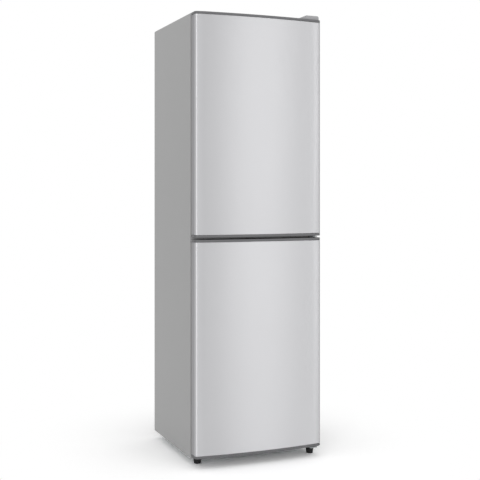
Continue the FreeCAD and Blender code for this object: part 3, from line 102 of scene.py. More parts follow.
finishes = {
    # Coil-coated steel sheet: even grey with a faint orange peel that softens its sheen
    "side_paint": {
        "name": "greyCoilCoatedSteel", "colours": ("#989898", "#9B9B9B"), "grain": (1.6, 1.6, 1.6),
        "roughness": (0.38, 0.46), "bump": 0.012, "surface": {"Specular IOR Level": 0.4},
    },
    # Silver lacquer over brushed sheet: upright hairlines pull each gleam into a tall soft streak, and the
    # flakes in the lacquer go dark at a slant. The lines are drawn 0.7 mm wide to show; real ones are finer.
    "door_sheet": {
        "name": "silverLacqueredBrushedSteel", "colours": ("#C7C7C9", "#CACACC"), "grain": (0.7, 0.7, 160),
        "roughness": (0.44, 0.5), "bump": 0.004,
        "surface": {"Metallic": 0.95, "Anisotropic": 0.95, "Anisotropic Rotation": 0.25,
                    "Specular Tint": (0.25, 0.25, 0.25, 1)},
    },
    # Moulded ABS, dark grey: a fine spark-eroded grain that breaks up the light
    "cap_plastic": {
        "name": "darkGreyMouldedAbs", "colours": ("#565658", "#5C5C5E"), "grain": (0.8, 0.8, 0.8),
        "roughness": (0.42, 0.52), "bump": 0.02, "surface": {},
    },
    # Moulded ABS, mid grey: the same grain, a shade off the case
    "cover_plastic": {
        "name": "greyMouldedAbs", "colours": ("#939395", "#99999B"), "grain": (0.8, 0.8, 0.8),
        "roughness": (0.4, 0.5), "bump": 0.02, "surface": {},
    },
    # Extruded soft PVC: matt dark grey, a little dusty
    "seal_rubber": {
        "name": "greyExtrudedPvc", "colours": ("#333335", "#3C3C3E"), "grain": (3, 3, 3),
        "roughness": (0.55, 0.68), "bump": 0.01, "surface": {},
    },
    # Vacuum-formed polystyrene: clean white with a soft gloss
    "liner_plastic": {
        "name": "whiteFormedPolystyrene", "colours": ("#E9EAE8", "#EBECEA"), "grain": (60, 60, 60),
        "roughness": (0.3, 0.34), "bump": 0, "surface": {},
    },
    # Poured polyurethane foam: cream, with open cells
    "foam": {
        "name": "creamPolyurethaneFoam", "colours": ("#D9C88F", "#E5D8A6"), "grain": (1.2, 1.2, 1.2),
        "roughness": (0.8, 0.95), "bump": 0.2, "surface": {},
    },
    # Moulded polyamide, black: dull, scuffed a little
    "black_plastic": {
        "name": "blackMouldedPolyamide", "colours": ("#131314", "#1A1A1B"), "grain": (1.2, 1.2, 1.2),
        "roughness": (0.5, 0.65), "bump": 0.03, "surface": {"Specular IOR Level": 0.25},
    },
    # Zinc-plated steel: pale, with a half-bright sheen
    "zinc_steel": {
        "name": "zincPlatedSteel", "colours": ("#B4B6B5", "#BFC1C0"), "grain": (2, 2, 2),
        "roughness": (0.3, 0.42), "bump": 0.01, "surface": {"Metallic": 1.0},
    },
    # Hot-dip galvanised sheet: dull grey metal with broad crystals
    "galvanised_sheet": {
        "name": "galvanisedSteelSheet", "colours": ("#9EA2A4", "#B3B6B7"), "grain": (9, 9, 9), "cells": True,
        "roughness": (0.38, 0.55), "bump": 0.004, "surface": {"Metallic": 0.85},
    },
    # Stoved black enamel: deep, half gloss
    "black_enamel": {
        "name": "blackStovedEnamel", "colours": ("#151516", "#1C1C1D"), "grain": (2.5, 2.5, 2.5),
        "roughness": (0.28, 0.4), "bump": 0.02, "surface": {"Coat Weight": 0.3, "Coat Roughness": 0.15},
    },
    # Moulded nitrile rubber: black, quite without shine
    "mount_rubber": {
        "name": "blackNitrileRubber", "colours": ("#1A1A1A", "#222222"), "grain": (2, 2, 2),
        "roughness": (0.75, 0.9), "bump": 0.03, "surface": {},
    },
    # Moulded polypropylene, light grey: waxy, with a slight grain
    "tray_plastic": {
        "name": "greyMouldedPolypropylene", "colours": ("#B9BAB8", "#C1C2C0"), "grain": (1.5, 1.5, 1.5),
        "roughness": (0.4, 0.5), "bump": 0.02, "surface": {},
    },
    # Drawn copper tube: bright, with browner patches from brazing and handling
    "copper": {
        "name": "drawnCopperTube", "colours": ("#9A5A3A", "#C77B52"), "grain": (22, 22, 22),
        "roughness": (0.25, 0.42), "bump": 0.01, "surface": {"Metallic": 1.0},
    },
    # Roll-bonded aluminium: bright, with fine lines along the rolling
    "bright_aluminium": {
        "name": "rollBondedAluminium", "colours": ("#C3C6C9", "#CDD0D2"), "grain": (0.8, 30, 0.8),
        "roughness": (0.3, 0.4), "bump": 0.006, "surface": {"Metallic": 1.0},
    },
    # Toughened float glass: clear with a green cast at its cut edges
    "shelf_glass": {
        "name": "toughenedFloatGlass", "colours": ("#DFF1EA", "#E6F5F0"), "grain": (120, 120, 120),
        "roughness": (0.02, 0.04), "bump": 0, "surface": {"Transmission Weight": 1.0, "IOR": 1.52},
    },
    # Moulded ABS with a silver lacquer: a pale satin line along each shelf
    "trim_plastic": {
        "name": "silverMouldedAbs", "colours": ("#C9CBCC", "#CFD1D2"), "grain": (0.8, 0.8, 0.8),
        "roughness": (0.28, 0.36), "bump": 0.01, "surface": {"Metallic": 0.2},
    },
    # Moulded polystyrene: half clear, slightly blue
    "clear_plastic": {
        "name": "clearMouldedPolystyrene", "colours": ("#F3F8FA", "#F7FAFB"), "grain": (45, 45, 12),
        "roughness": (0.1, 0.16), "bump": 0, "surface": {"Transmission Weight": 0.5, "IOR": 1.59},
    },
    # Moulded polypropylene, frosted: milky, with a fine mould grain
    "drawer_plastic": {
        "name": "frostedMouldedPolypropylene", "colours": ("#EAF0F2", "#EFF4F5"), "grain": (1.2, 1.2, 1.2),
        "roughness": (0.3, 0.42), "bump": 0.02, "surface": {"Transmission Weight": 0.4, "IOR": 1.49},
    },
}
grain = {"detail": 3, "roughness": 0.55, "low": 0.3, "high": 0.7, "bumpStrength": 0.6}


def makeMaterial(look):
    material = bpy.data.materials.new(look["name"])
    material.use_nodes = True
    tree = material.node_tree
    surface = tree.nodes["Principled BSDF"]
    for name, value in look["surface"].items():
        surface.inputs[name].default_value = value
    place = addNode(tree, "ShaderNodeTexCoord", {})
    scale = addNode(tree, "ShaderNodeMapping", {"Scale": [1 / (size * mm) for size in look["grain"]]},
                    {"Vector": (place, "Object")})
    if look.get("cells"):
        kind, settings, output = "ShaderNodeTexVoronoi", {"Scale": 1, "Randomness": 1}, "Color"
    else:
        settings = {"Scale": 1, "Detail": grain["detail"], "Roughness": grain["roughness"]}
        kind, output = "ShaderNodeTexNoise", "Fac"
    value = (addNode(tree, kind, settings, {"Vector": (scale, "Vector")}), output)
    ramp = addNode(tree, "ShaderNodeValToRGB", {}, {"Fac": value})
    for stop, colour, at in zip(ramp.color_ramp.elements, look["colours"], (grain["low"], grain["high"])):
        stop.color = linear(colour)
        stop.position = at
    low, high = look["roughness"]
    shine = addNode(tree, "ShaderNodeMapRange", {
        "From Min": grain["low"], "From Max": grain["high"], "To Min": low, "To Max": high,
    }, {"Value": value})
    tree.links.new(ramp.outputs["Color"], surface.inputs["Base Color"])
    tree.links.new(shine.outputs["Result"], surface.inputs["Roughness"])
    if look["bump"]:
        bump = addNode(tree, "ShaderNodeBump", {
            "Strength": grain["bumpStrength"], "Distance": look["bump"] * mm,
        }, {"Height": value})
        tree.links.new(bump.outputs["Normal"], surface.inputs["Normal"])
    return material


materials = {slot: makeMaterial(look) for slot, look in finishes.items()}
for node, slot in slotOf.items():
    for place in nodes[node].material_slots:
        place.material = materials[slot]
print("finishes made:", len(materials))


# Mesh tools
welded = 1e-6                  # points nearer than this are one
leastRadius = 1e-5
inwards = ((0, 1), (1, -1))    # each end of a span, and the way from it to the middle


def span(node, axis):
    low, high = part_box(node)
    return low[axis], high[axis]


def spans(node):
    return [span(node, axis) for axis in range(3)]


def grown(ends, by):
    return ends[0] - by, ends[1] + by


def sizes(look, *names):
    return [look[name] * mm for name in names]


def finishPiece(name, bm, slot, body, replaced=(), sharpAngle=35):
    bmesh.ops.remove_doubles(bm, verts=bm.verts, dist=welded)
    bmesh.ops.recalc_face_normals(bm, faces=bm.faces)
    for face in bm.faces:
        face.smooth = True
    for edge in bm.edges:
        if len(edge.link_faces) != 2 or edge.calc_face_angle(0) > math.radians(sharpAngle):
            edge.smooth = False
    mesh = bpy.data.meshes.new(name)
    bm.to_mesh(mesh)
    bm.free()
    piece = bpy.data.objects.new(name, mesh)
    scene.collection.objects.link(piece)
    mesh.materials.append(materials[slot])
    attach(piece, body)
    if replaced:
        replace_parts(piece, *replaced)
    return piece


def thicken(piece, thick):
    wall = piece.modifiers.new("thickness", "SOLIDIFY")
    wall.thickness = thick * mm
    wall.offset = -1


def softenEdges(bm, edges, width, segments=2, clamp=False):
    bmesh.ops.bevel(bm, geom=edges, offset=width * mm, segments=segments, profile=0.5, affect="EDGES",
                    clamp_overlap=clamp)


def softCopy(node, width, segments=2, flatAngle=0.5, sharpAngle=30):
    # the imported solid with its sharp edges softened, as bending and moulding leave them
    bm = bmesh.new()
    bm.from_mesh(nodes[node].data)
    bmesh.ops.remove_doubles(bm, verts=bm.verts, dist=welded)
    bmesh.ops.dissolve_limit(bm, angle_limit=math.radians(flatAngle), verts=bm.verts, edges=bm.edges)
    if width:
        sharp = [edge for edge in bm.edges
                 if len(edge.link_faces) == 2 and edge.calc_face_angle(0) > math.radians(sharpAngle)]
        softenEdges(bm, sharp, width, segments)
    return finishPiece(node + "Soft", bm, slotOf[node], bodyOf[node], [node])


def flat(z):
    return lambda u, v: Vector((u, v, z))


def upright(y):
    return lambda u, v: Vector((u, y, v))


def ring(place, u, v, radius, steps=6):
    # a rounded rectangle as a loop of points
    radius = max(min(radius, (u[1] - u[0]) / 2, (v[1] - v[0]) / 2), leastRadius)
    points = []
    for quarterTurn, (a, b) in enumerate(((1, 1), (0, 1), (0, 0), (1, 0))):
        middle = (u[a] + (radius if a == 0 else -radius), v[b] + (radius if b == 0 else -radius))
        for step in range(steps + 1):
            turn = math.pi / 2 * (quarterTurn + step / steps)
            points.append(place(middle[0] + radius * math.cos(turn), middle[1] + radius * math.sin(turn)))
    return points


def uprightRing(y, x, z, inset, radius, steps=6):
    return ring(upright(y), grown(x, -inset), grown(z, -inset), radius, steps)


def loft(bm, rings, startCap=False, endCap=False, looped=False, openRings=False):
    rows = [[bm.verts.new(point) for point in points] for points in rings]
    pairs = list(zip(rows, rows[1:])) + ([(rows[-1], rows[0])] if looped else [])
    for low, high in pairs:
        for at in range(len(low) - (1 if openRings else 0)):
            on = (at + 1) % len(low)
            bm.faces.new((low[at], low[on], high[on], high[at]))
    if startCap:
        bm.faces.new(rows[0][::-1])
    if endCap:
        bm.faces.new(rows[-1])


def bar(bm, x, y, z, edge):
    # a moulded bar with softened edges
    box = bmesh.ops.create_cube(bm, size=1)["verts"]
    for vert in box:
        vert.co = Vector([ends[0] + (ends[1] - ends[0]) * (part + 0.5)
                          for ends, part in zip((x, y, z), vert.co)])
    softenEdges(bm, list({link for vert in box for link in vert.link_edges}), edge)


def extruded(bm, x, outline, edge=0.6):
    # a side view of (y, z) points pulled along X, with softened edges
    count = len(outline)
    rows = [[bm.verts.new((at, y, z)) for y, z in outline] for at in x]
    made = [bm.faces.new(rows[0][::-1]), bm.faces.new(rows[1])]
    for at in range(count):
        on = (at + 1) % count
        made.append(bm.faces.new((rows[0][at], rows[0][on], rows[1][on], rows[1][at])))
    softenEdges(bm, list({link for face in made for link in face.edges}), edge, clamp=True)


def lathe(bm, place, profile, steps=48, axis="Z"):
    # turns (radius, height) points in mm round an axis through place
    rows = []
    for radius, high in profile:
        row = []
        for step in range(steps):
            turn = 2 * math.pi * step / steps
            a, b = radius * math.cos(turn), radius * math.sin(turn)
            row.append(Vector(place) + Vector((a, b, high) if axis == "Z" else (a, high, b)) * mm)
        rows.append(row)
    loft(bm, rows)


def quarter(start, end, steps=4):
    # points of a quarter round from one pair of sizes to another, leaving along the first size
    points = []
    for step in range(steps + 1):
        turn = math.pi / 2 * step / steps
        points.append((start[0] + (end[0] - start[0]) * math.sin(turn),
                       start[1] + (end[1] - start[1]) * (1 - math.cos(turn))))
    return points


# Case: one folded sheet over sides and top, with its front edge turned in
caseSheet = {"fold": 4.0, "foldSteps": 8, "frontFold": 1.6, "flange": 34, "rearGap": 0.1, "thick": 0.8}


def makeCase():
    x, y, z = spans("cabinet_shell")
    fold, front, flange, rearGap = sizes(caseSheet, "fold", "frontFold", "flange", "rearGap")
    deep = [(flange, y[0])] + quarter((front, y[0]), (0, y[0] + front)) + [(0, y[1] - rearGap)]

    def path(inset):
        radius = max(fold - inset, leastRadius)
        points = [(x[0] + inset, z[0])]
        for (side, way), start in zip(inwards, (math.pi, math.pi / 2)):
            middle = (x[side] + way * (inset + radius), z[1] - inset - radius)
            for step in range(caseSheet["foldSteps"] + 1):
                turn = start - math.pi / 2 * step / caseSheet["foldSteps"]
                points.append((middle[0] + radius * math.cos(turn), middle[1] + radius * math.sin(turn)))
        return points + [(x[1] - inset, z[0])]

    bm = bmesh.new()
    loft(bm, [[Vector((u, at, v)) for u, v in path(inset)] for inset, at in deep], openRings=True)
    piece = finishPiece("caseSheet", bm, "side_paint", "cabinet", ["cabinet_shell"])
    thicken(piece, caseSheet["thick"])


caseParts = {    # how wide the edges are softened
    "back_panel": 0.3, "mullion_rail": 0.25, "base_frame": 0.4, "top_hinge": 0.5, "middle_hinge": 0.5,
    "bottom_hinge": 0.5, "top_hinge_cover": 1.6, "wall_spacers": 1.5, "left_foot_stud": 0.5,
    "right_foot_stud": 0.5, "left_roller": 0.8, "right_roller": 0.8, "roller_axles": 0.4,
}
coverFlatShare = 0.76    # the photo shows the hinge cover a little flatter than its solid


def makeCaseParts():
    for node, width in caseParts.items():
        piece = softCopy(node, width)
        if node == "top_hinge_cover":
            low = span(node, 2)[0]
            for vert in piece.data.vertices:
                vert.co.z = low + (vert.co.z - low) * coverFlatShare


# Foam fillings, which shrink a little from the rolled edges of the sheets round them
foamShrink = {"cabinet_foam": (4.5, 0, 4.5), "upper_door_foam": (3, 0, 4), "lower_door_foam": (3, 0, 4)}
doorFoam = {"front": 30, "back": 1.5}    # how deep its front zone is, and how far that stays behind the sheet


def makeFoam(node):
    front, back = sizes(doorFoam, "front", "back")
    bm = bmesh.new()
    bm.from_mesh(nodes[node].data)
    low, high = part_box(node)
    for vert in bm.verts:
        if node != "cabinet_foam" and vert.co.y < low[1] + front:
            vert.co.y += back
        for axis, shrink in enumerate(foamShrink[node]):
            vert.co[axis] = min(max(vert.co[axis], low[axis] + shrink * mm), high[axis] - shrink * mm)
    bmesh.ops.dissolve_degenerate(bm, dist=welded, edges=bm.edges)
    finishPiece(node + "Poured", bm, "foam", bodyOf[node], [node])


# Doors: a bowed sheet between two flat bevels, with rolled ends
doorSheet = {
    "crease": 28, "bow": 12.6, "bevelFall": 4.9, "corner": 11, "rolled": 2.6, "hem": 13.6, "fold": 1.2,
    "thick": 0.7,
}
doorSteps = {"bow": 40, "corner": 10, "rolled": 6}
creaseMark = {"near": 0.4, "long": 2}    # an edge this near a crease and longer than this lies along it


def doorPlan(x, y, inset):
    # the sheet's plan from hem to hem round the front, moved inwards by inset
    crease, bow, fall = sizes(doorSheet, "crease", "bow", "bevelFall")
    corner, hem, fold = sizes(doorSheet, "corner", "hem", "fold")
    half, side, back = (x[1] - x[0]) / 2, (x[1] - x[0]) / 2 - inset, y[1] - inset
    creaseX, creaseY = half - crease, y[0] + bow
    lean = math.atan2(fall, crease)
    turn = math.pi / 2 - lean
    centre = (half - corner, creaseY + fall + corner * math.tan(turn / 2))
    radius = corner - inset
    right = [(half - hem, back), (side - fold, back), (side, back - fold)]
    for step in range(doorSteps["corner"] + 1):
        angle = -turn * step / doorSteps["corner"]
        right.append((centre[0] + radius * math.cos(angle), centre[1] + radius * math.sin(angle)))
    right.append((creaseX + inset * math.tan(lean / 2), creaseY + inset))
    bowRadius = creaseX ** 2 / (2 * bow) + bow / 2
    bowed = []
    for step in range(1, doorSteps["bow"]):
        at = creaseX - 2 * creaseX * step / doorSteps["bow"]
        deep = bowRadius - math.sqrt(bowRadius ** 2 - at ** 2)
        bowed.append((at * (1 - inset / bowRadius), y[0] + inset + deep))
    return right + bowed + [(-u, v) for u, v in right[::-1]]


def makeDoorSheet(door):
    node = door + "_skin"
    x, y, z = spans(node)
    rolled = doorSheet["rolled"] * mm
    rows = quarter((rolled, z[0]), (0, z[0] + rolled), doorSteps["rolled"])
    rows += [(inset, z[0] + z[1] - up) for inset, up in rows[::-1]]
    bm = bmesh.new()
    loft(bm, [[Vector((u, v, up)) for u, v in doorPlan(x, y, inset)] for inset, up in rows], openRings=True)
    piece = finishPiece(door + "Sheet", bm, "door_sheet", bodyOf[node], [node], sharpAngle=30)
    markCreases(piece, x)
    thicken(piece, doorSheet["thick"])


def markCreases(piece, x):
    # the two folds between bow and bevels are slight but crisp
    crease = (x[1] - x[0]) / 2 - doorSheet["crease"] * mm
    near, long = sizes(creaseMark, "near", "long")
    for edge in piece.data.edges:
        ends = [piece.data.vertices[at].co for at in edge.vertices]
        if all(abs(abs(end.x) - crease) < near for end in ends) and abs(ends[0].z - ends[1].z) > long:
            edge.use_edge_sharp = True


# Door seals: a bellows with a magnet bead, rounded at the corners
sealCorner = {"round": 9, "steps": 5}
sealProfile = (    # inset from the outer edge and depth from the door's back
    (1.4, 0.1), (0.5, 2.2), (1.8, 4.2), (0.3, 6.3), (0.0, 9.4), (0.8, 12.2), (2.0, 12.9), (8.0, 12.9),
    (9.2, 12.2), (10.0, 9.4), (9.7, 6.3), (8.2, 4.2), (9.5, 2.2), (17.0, 1.6), (17.4, 0.1),
)


def makeSeal(door):
    node = door + "_seal"
    x, y, z = spans(node)
    outer, steps = sealCorner["round"], sealCorner["steps"]
    bm = bmesh.new()
    loft(bm, [uprightRing(y[0] + deep * mm, x, z, inset * mm, (outer - inset) * mm, steps)
              for inset, deep in sealProfile], looped=True)
    finishPiece(door + "Seal", bm, "seal_rubber", bodyOf[node], [node])


# Door linings: flange, raised rim and a drafted pan with soft corners, and lugs that carry the bins
doorLining = {
    "flange": 1.6, "flangeSoft": 0.8, "edge": 2, "rimHalf": 222, "rimInset": 28, "rim": 22, "round": 16,
    "soft": 5, "deepSoft": 9, "draft": 3, "skinGap": 2, "panSteps": 5,
    "lugOut": 6, "lugLap": 3, "lugDeep": 20, "lugHigh": 10, "lugSoft": 1.5,
}
doorBins = ("door_bin_1", "door_bin_2", "door_bin_3")


def rimSpans(door):
    half, inset = sizes(doorLining, "rimHalf", "rimInset")
    space = span("fridge_liner" if door == "upper_door" else "freezer_liner", 2)
    return (-half, half), grown(space, -inset)


def makeDoorLining(door):
    node = door + "_liner"
    x, y, z = spans(node)
    rimX, rimZ = rimSpans(door)
    flange, flangeSoft, edge, skinGap = sizes(doorLining, "flange", "flangeSoft", "edge", "skinGap")
    rim, corner, soft, deepSoft, draft = sizes(doorLining, "rim", "round", "soft", "deepSoft", "draft")
    backY = span(door + "_seal", 1)[0]
    panY, panInset = y[0] + skinGap, rim + draft
    rings = [
        uprightRing(backY - flange, x, z, 0, edge),
        uprightRing(backY, x, z, flangeSoft, edge),
        uprightRing(backY, rimX, rimZ, -soft, corner + soft),
    ]
    rimFoot = quarter((soft, backY), (0, backY + soft))[1:]
    rimCrest = quarter((y[1] - soft, 0), (y[1], soft))
    panMouth = quarter((rim - soft, y[1]), (rim, y[1] - soft))
    panFloor = quarter((panY + deepSoft, panInset), (panY, panInset + deepSoft), doorLining["panSteps"])
    rings += [uprightRing(at, rimX, rimZ, -out, corner + out) for out, at in rimFoot]
    rings += [uprightRing(at, rimX, rimZ, inset, corner - inset / 2) for at, inset in rimCrest]
    rings += [uprightRing(at, rimX, rimZ, inset, corner) for inset, at in panMouth]
    rings += [uprightRing(at, rimX, rimZ, inset, corner) for at, inset in panFloor]
    bm = bmesh.new()
    loft(bm, rings, endCap=True)
    for holder in doorBins:
        if bodyOf[holder] == bodyOf[node]:
            addLugs(bm, grown(rimX, -rim), backY, span(holder, 2)[1] - doorBin["hookHigh"] * mm)
    finishPiece(door + "Lining", bm, "liner_plastic", bodyOf[node], [node])


def addLugs(bm, x, y, top):
    out, lap, deep, high = sizes(doorLining, "lugOut", "lugLap", "lugDeep", "lugHigh")
    for side, way in inwards:
        ends = sorted((x[side] + way * out, x[side] - way * lap))
        bar(bm, ends, (y - deep, y + deep), (top - high, top), doorLining["lugSoft"])


# Open trays: bins, crisper, drawers and drip tray
tubRim = {"soft": 0.6, "chamfer": 0.3, "tuck": 0.2, "underShare": 0.6, "bandShare": 0.55, "edgeSteps": 3}


def tub(bm, x, y, z, look):
    wall, corner, edge = sizes(look, "wall", "round", "edge")
    lip, lipHigh, draft, band = sizes(look, "lip", "lipHigh", "draft", "band")
    soft, chamfer, tuck = sizes(tubRim, "soft", "chamfer", "tuck")
    steps = tubRim["edgeSteps"]
    low, top = z
    outside, under = lip + draft, top - lipHigh
    levels = quarter((outside + edge, low), (outside, low + edge), steps)
    if band:
        rise = low + (top - low) * tubRim["bandShare"]
        levels += [(lip + draft / 2, rise), (lip + draft / 2 - band, rise + band)]
    levels += [(lip, under - lip * tubRim["underShare"]), (tuck, under), (0, under + chamfer),
               (0, top - soft), (soft, top), (lip + wall - soft, top), (lip + wall, top - soft)]
    inside, floor = outside + wall, low + wall
    levels += [(inset, up) for up, inset in quarter((floor + edge, inside), (floor, inside + edge), steps)]
    loft(bm, [ring(flat(up), grown(x, -inset), grown(y, -inset), corner - inset / 2) for inset, up in levels],
         startCap=True, endCap=True)


doorBin = {
    "wall": 2.2, "round": 14, "edge": 4, "lip": 1.8, "lipHigh": 7, "draft": 2.5, "band": 1.2,
    "hookOut": 6, "hookDeep": 20, "hookHigh": 6, "hookSoft": 1.2,
}


def makeBin(node):
    x, y, z = spans(node)
    out, deep, high, wall = sizes(doorBin, "hookOut", "hookDeep", "hookHigh", "wall")
    inner = grown(x, -out)
    bm = bmesh.new()
    tub(bm, inner, y, z, doorBin)
    hookY = span("upper_door_seal", 1)[0]
    for side, way in inwards:
        ends = sorted((x[side], inner[side] + way * wall))
        bar(bm, ends, (hookY - deep, hookY + deep), (z[1] - high, z[1]), doorBin["hookSoft"])
    finishPiece(node + "Moulded", bm, slotOf[node], bodyOf[node], [node])


def addGrip(bm, front, top, look):
    # a hooked lip to pull a drawer by
    out, high, half, wall = sizes(look, "gripOut", "gripHigh", "gripHalf", "wall")
    nose, foot, under = front - out, top - high, top - wall
    outline = [(front + wall, under), (front + wall, top), (nose, top), (nose, foot), (nose + wall, foot),
               (nose + wall, under)]
    extruded(bm, (-half, half), outline)


crisper = {
    "wall": 2.4, "round": 14, "edge": 7, "lip": 2.0, "lipHigh": 8, "draft": 4, "band": 1.2,
    "gripOut": 12, "gripHigh": 20, "gripHalf": 115,
}


def makeCrisper():
    node = "crisper_drawer"
    x, y, z = spans(node)
    front = y[0] + crisper["gripOut"] * mm
    bm = bmesh.new()
    tub(bm, x, (front, y[1]), z, crisper)
    addGrip(bm, front, z[1], crisper)
    finishPiece("crisperTub", bm, slotOf[node], bodyOf[node], [node])


freezerDrawer = {
    "wall": 2.4, "round": 12, "edge": 6, "lip": 1.6, "lipHigh": 6, "draft": 3, "band": 0,
    "gripOut": 10, "gripHigh": 26, "gripHalf": 115, "gripDown": 8,
    "trayHalf": 212, "trayDown": 26, "trayLap": 1,
    "face": 8, "faceRound": 18, "faceSoft": 2, "faceFine": 0.6, "frameRound": 14,
    "frame": ((16, -0.1), (17, 0.9), (20, 0.9), (21, -0.1)),    # inset and rise of the face's raised frame
}


def makeFreezerDrawer(name):
    node = "freezer_drawer_" + name
    x, y, z = spans(node)
    deep, corner, soft, fine = sizes(freezerDrawer, "face", "faceRound", "faceSoft", "faceFine")
    half, down, lap, gripDown = sizes(freezerDrawer, "trayHalf", "trayDown", "trayLap", "gripDown")
    frameRound = freezerDrawer["frameRound"] * mm
    front = y[0] + freezerDrawer["gripOut"] * mm
    rear = front + deep
    bm = bmesh.new()
    face = ((soft, front), (fine, front + fine), (0, front + soft), (0, rear - fine), (fine, rear))
    loft(bm, [uprightRing(at, x, z, inset, corner - inset) for inset, at in face], startCap=True, endCap=True)
    loft(bm, [uprightRing(front - rise * mm, x, z, inset * mm, frameRound)
              for inset, rise in freezerDrawer["frame"]], looped=True)
    tub(bm, (-half, half), (rear - lap, y[1]), (z[0], z[1] - down), freezerDrawer)
    addGrip(bm, front, z[1] - gripDown, freezerDrawer)
    finishPiece("freezerDrawer" + name.capitalize(), bm, slotOf[node], bodyOf[node], [node])


dripTray = {"wall": 2, "round": 16, "edge": 3, "lip": 1.5, "lipHigh": 3, "draft": 2, "band": 0}


def makeDripTray():
    node = "drip_tray"
    bm = bmesh.new()
    tub(bm, *spans(node), dripTray)
    finishPiece("dripTray", bm, slotOf[node], bodyOf[node], [node])


# Linings of the two spaces, drawn from one sheet each
lining = {
    "flange": 20, "flangeThick": 1.5, "flangeSoft": 0.4, "flangeRound": 0.5, "round": 18, "soft": 4,
    "rearRound": 14, "plateGap": 2,
}
ledge = {"out": 9, "lap": 3, "high": 8, "rear": 2, "soft": 2.2}
liningSteps = {"corner": 8, "soft": 5, "rear": 6}


def liningSpans(node):
    # the space's own width and height inside the flange, and the depth of its rear wall
    flange, plateGap = sizes(lining, "flange", "plateGap")
    return grown(span(node, 0), -flange), grown(span(node, 2), -flange), span("evaporator", 1)[0] - plateGap


def rearRound(back):
    # depth and inset of the steps from the walls to the rear wall
    radius = lining["rearRound"] * mm
    return quarter((back - radius, 0), (back, radius), liningSteps["rear"])


def liningRings(node, x, z, path):
    # path: depth, rise of the floor, and inset all round
    front = span(node, 1)[0]
    flange, thick = sizes(lining, "flange", "flangeThick")
    flangeSoft, flangeRound, corner, soft = sizes(lining, "flangeSoft", "flangeRound", "round", "soft")
    steps = liningSteps["corner"]
    rings = [uprightRing(front + thick, x, z, -flange, flangeRound, steps),
             uprightRing(front, x, z, flangeSoft - flange, flangeRound, steps)]
    for out, at in quarter((soft, front), (0, front + soft), liningSteps["soft"]):
        rings.append(uprightRing(at, x, z, -out, corner + out, steps))
    for at, rise, inset in path:
        high = (z[0] + max(rise, inset), z[1] - inset)
        rings.append(ring(upright(at), grown(x, -inset), high, corner, steps))
    return rings


def addLedges(bm, x, shelves, front, back):
    out, lap, high, rear = sizes(ledge, "out", "lap", "high", "rear")
    for shelf in shelves:
        top = span(shelf, 2)[0]
        for side, way in inwards:
            ends = sorted((x[side] - way * lap, x[side] + way * out))
            bar(bm, ends, (front, back + rear), (top - high, top), ledge["soft"])


fridgeLining = {
    "ledgeFront": 18, "panelRound": 20,
    "panel": ((0, 0.5), (3, -1.2)),    # inset and depth of the low panel over the cold plate
}
fridgeShelves = ("crisper_lid", "shelf_glass_lower", "shelf_glass_middle", "shelf_glass_upper")
switchBoss = {
    "front": 8, "long": 26, "bore": 5.08, "radius": 9, "soft": 0.6, "steps": 32, "ribHalf": 8, "ribLow": 7,
    "ribLap": 1, "ribSoft": 1,
}


def makeFridgeLining():
    node = "fridge_liner"
    x, z, back = liningSpans(node)
    bm = bmesh.new()
    loft(bm, liningRings(node, x, z, [(at, 0, inset) for at, inset in rearRound(back)]), endCap=True)
    front = span("shelf_trim_lower", 1)[0] + fridgeLining["ledgeFront"] * mm
    addLedges(bm, x, fridgeShelves, front, back)
    plateX, plateZ = span("evaporator", 0), span("evaporator", 2)
    outer = fridgeLining["panelRound"] * mm
    loft(bm, [uprightRing(back + deep * mm, plateX, plateZ, inset * mm, outer - inset * mm)
              for inset, deep in fridgeLining["panel"]], endCap=True)
    addSwitchBoss(bm, z[1])
    finishPiece("fridgeLining", bm, "liner_plastic", "cabinet", [node])


def addSwitchBoss(bm, top):
    # the bored boss that the light switch slides in, hung from the top by a rib
    low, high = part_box("light_switch")
    centre = ((low[0] + high[0]) / 2, 0, (low[2] + high[2]) / 2)
    bore, radius, soft = switchBoss["bore"], switchBoss["radius"], switchBoss["soft"]
    start = low[1] / mm + switchBoss["front"]
    end = start + switchBoss["long"]
    outside = [(radius - soft, start), (radius, start + soft), (radius, end)]
    lathe(bm, centre, [(bore, end), (bore, start)] + outside + [(bore, end)], switchBoss["steps"], "Y")
    ribHalf, ribLow, ribLap = sizes(switchBoss, "ribHalf", "ribLow", "ribLap")
    bar(bm, (centre[0] - ribHalf, centre[0] + ribHalf), ((start + soft) * mm, end * mm),
        (centre[2] + ribLow, top + ribLap), switchBoss["ribSoft"])


# The step over the compressor bay, with its slope as depth behind the step's front and height from its top
bayStep = {"front": 8.9, "top": 276, "foot": 8, "slope": ((0.05, -58), (2.5, -52), (54, -1.5), (60, 0))}
freezerLedgeFront = 34
freezerShelves = ("freezer_shelf_lower", "freezer_shelf_upper")


def makeFreezerLining():
    node = "freezer_liner"
    x, z, back = liningSpans(node)
    front, top, foot = sizes(bayStep, "front", "top", "foot")
    rise = top - z[0]
    path = [(at, up, 0) for at, up in quarter((front - foot, 0), (front, foot))]
    path += [(front + deep * mm, rise + up * mm, 0) for deep, up in bayStep["slope"]]
    path += [(at, rise + inset, inset) for at, inset in rearRound(back)]
    bm = bmesh.new()
    loft(bm, liningRings(node, x, z, path), endCap=True)
    ledgeFront = span("freezer_drawer_lower", 1)[0] + freezerLedgeFront * mm
    addLedges(bm, x, freezerShelves, ledgeFront, back)
    finishPiece("freezerLining", bm, "liner_plastic", "cabinet", [node])


# Feet: tapered mouldings with a waist under the stud
footShape = (    # radius and height above the floor
    (0, 0), (12.6, 0), (14, 0.9), (16.2, 19.6), (16.5, 21.2), (15.6, 22), (9, 22), (8, 23), (8, 26.6),
    (7.6, 27), (4.1, 27), (4.1, 20),
)


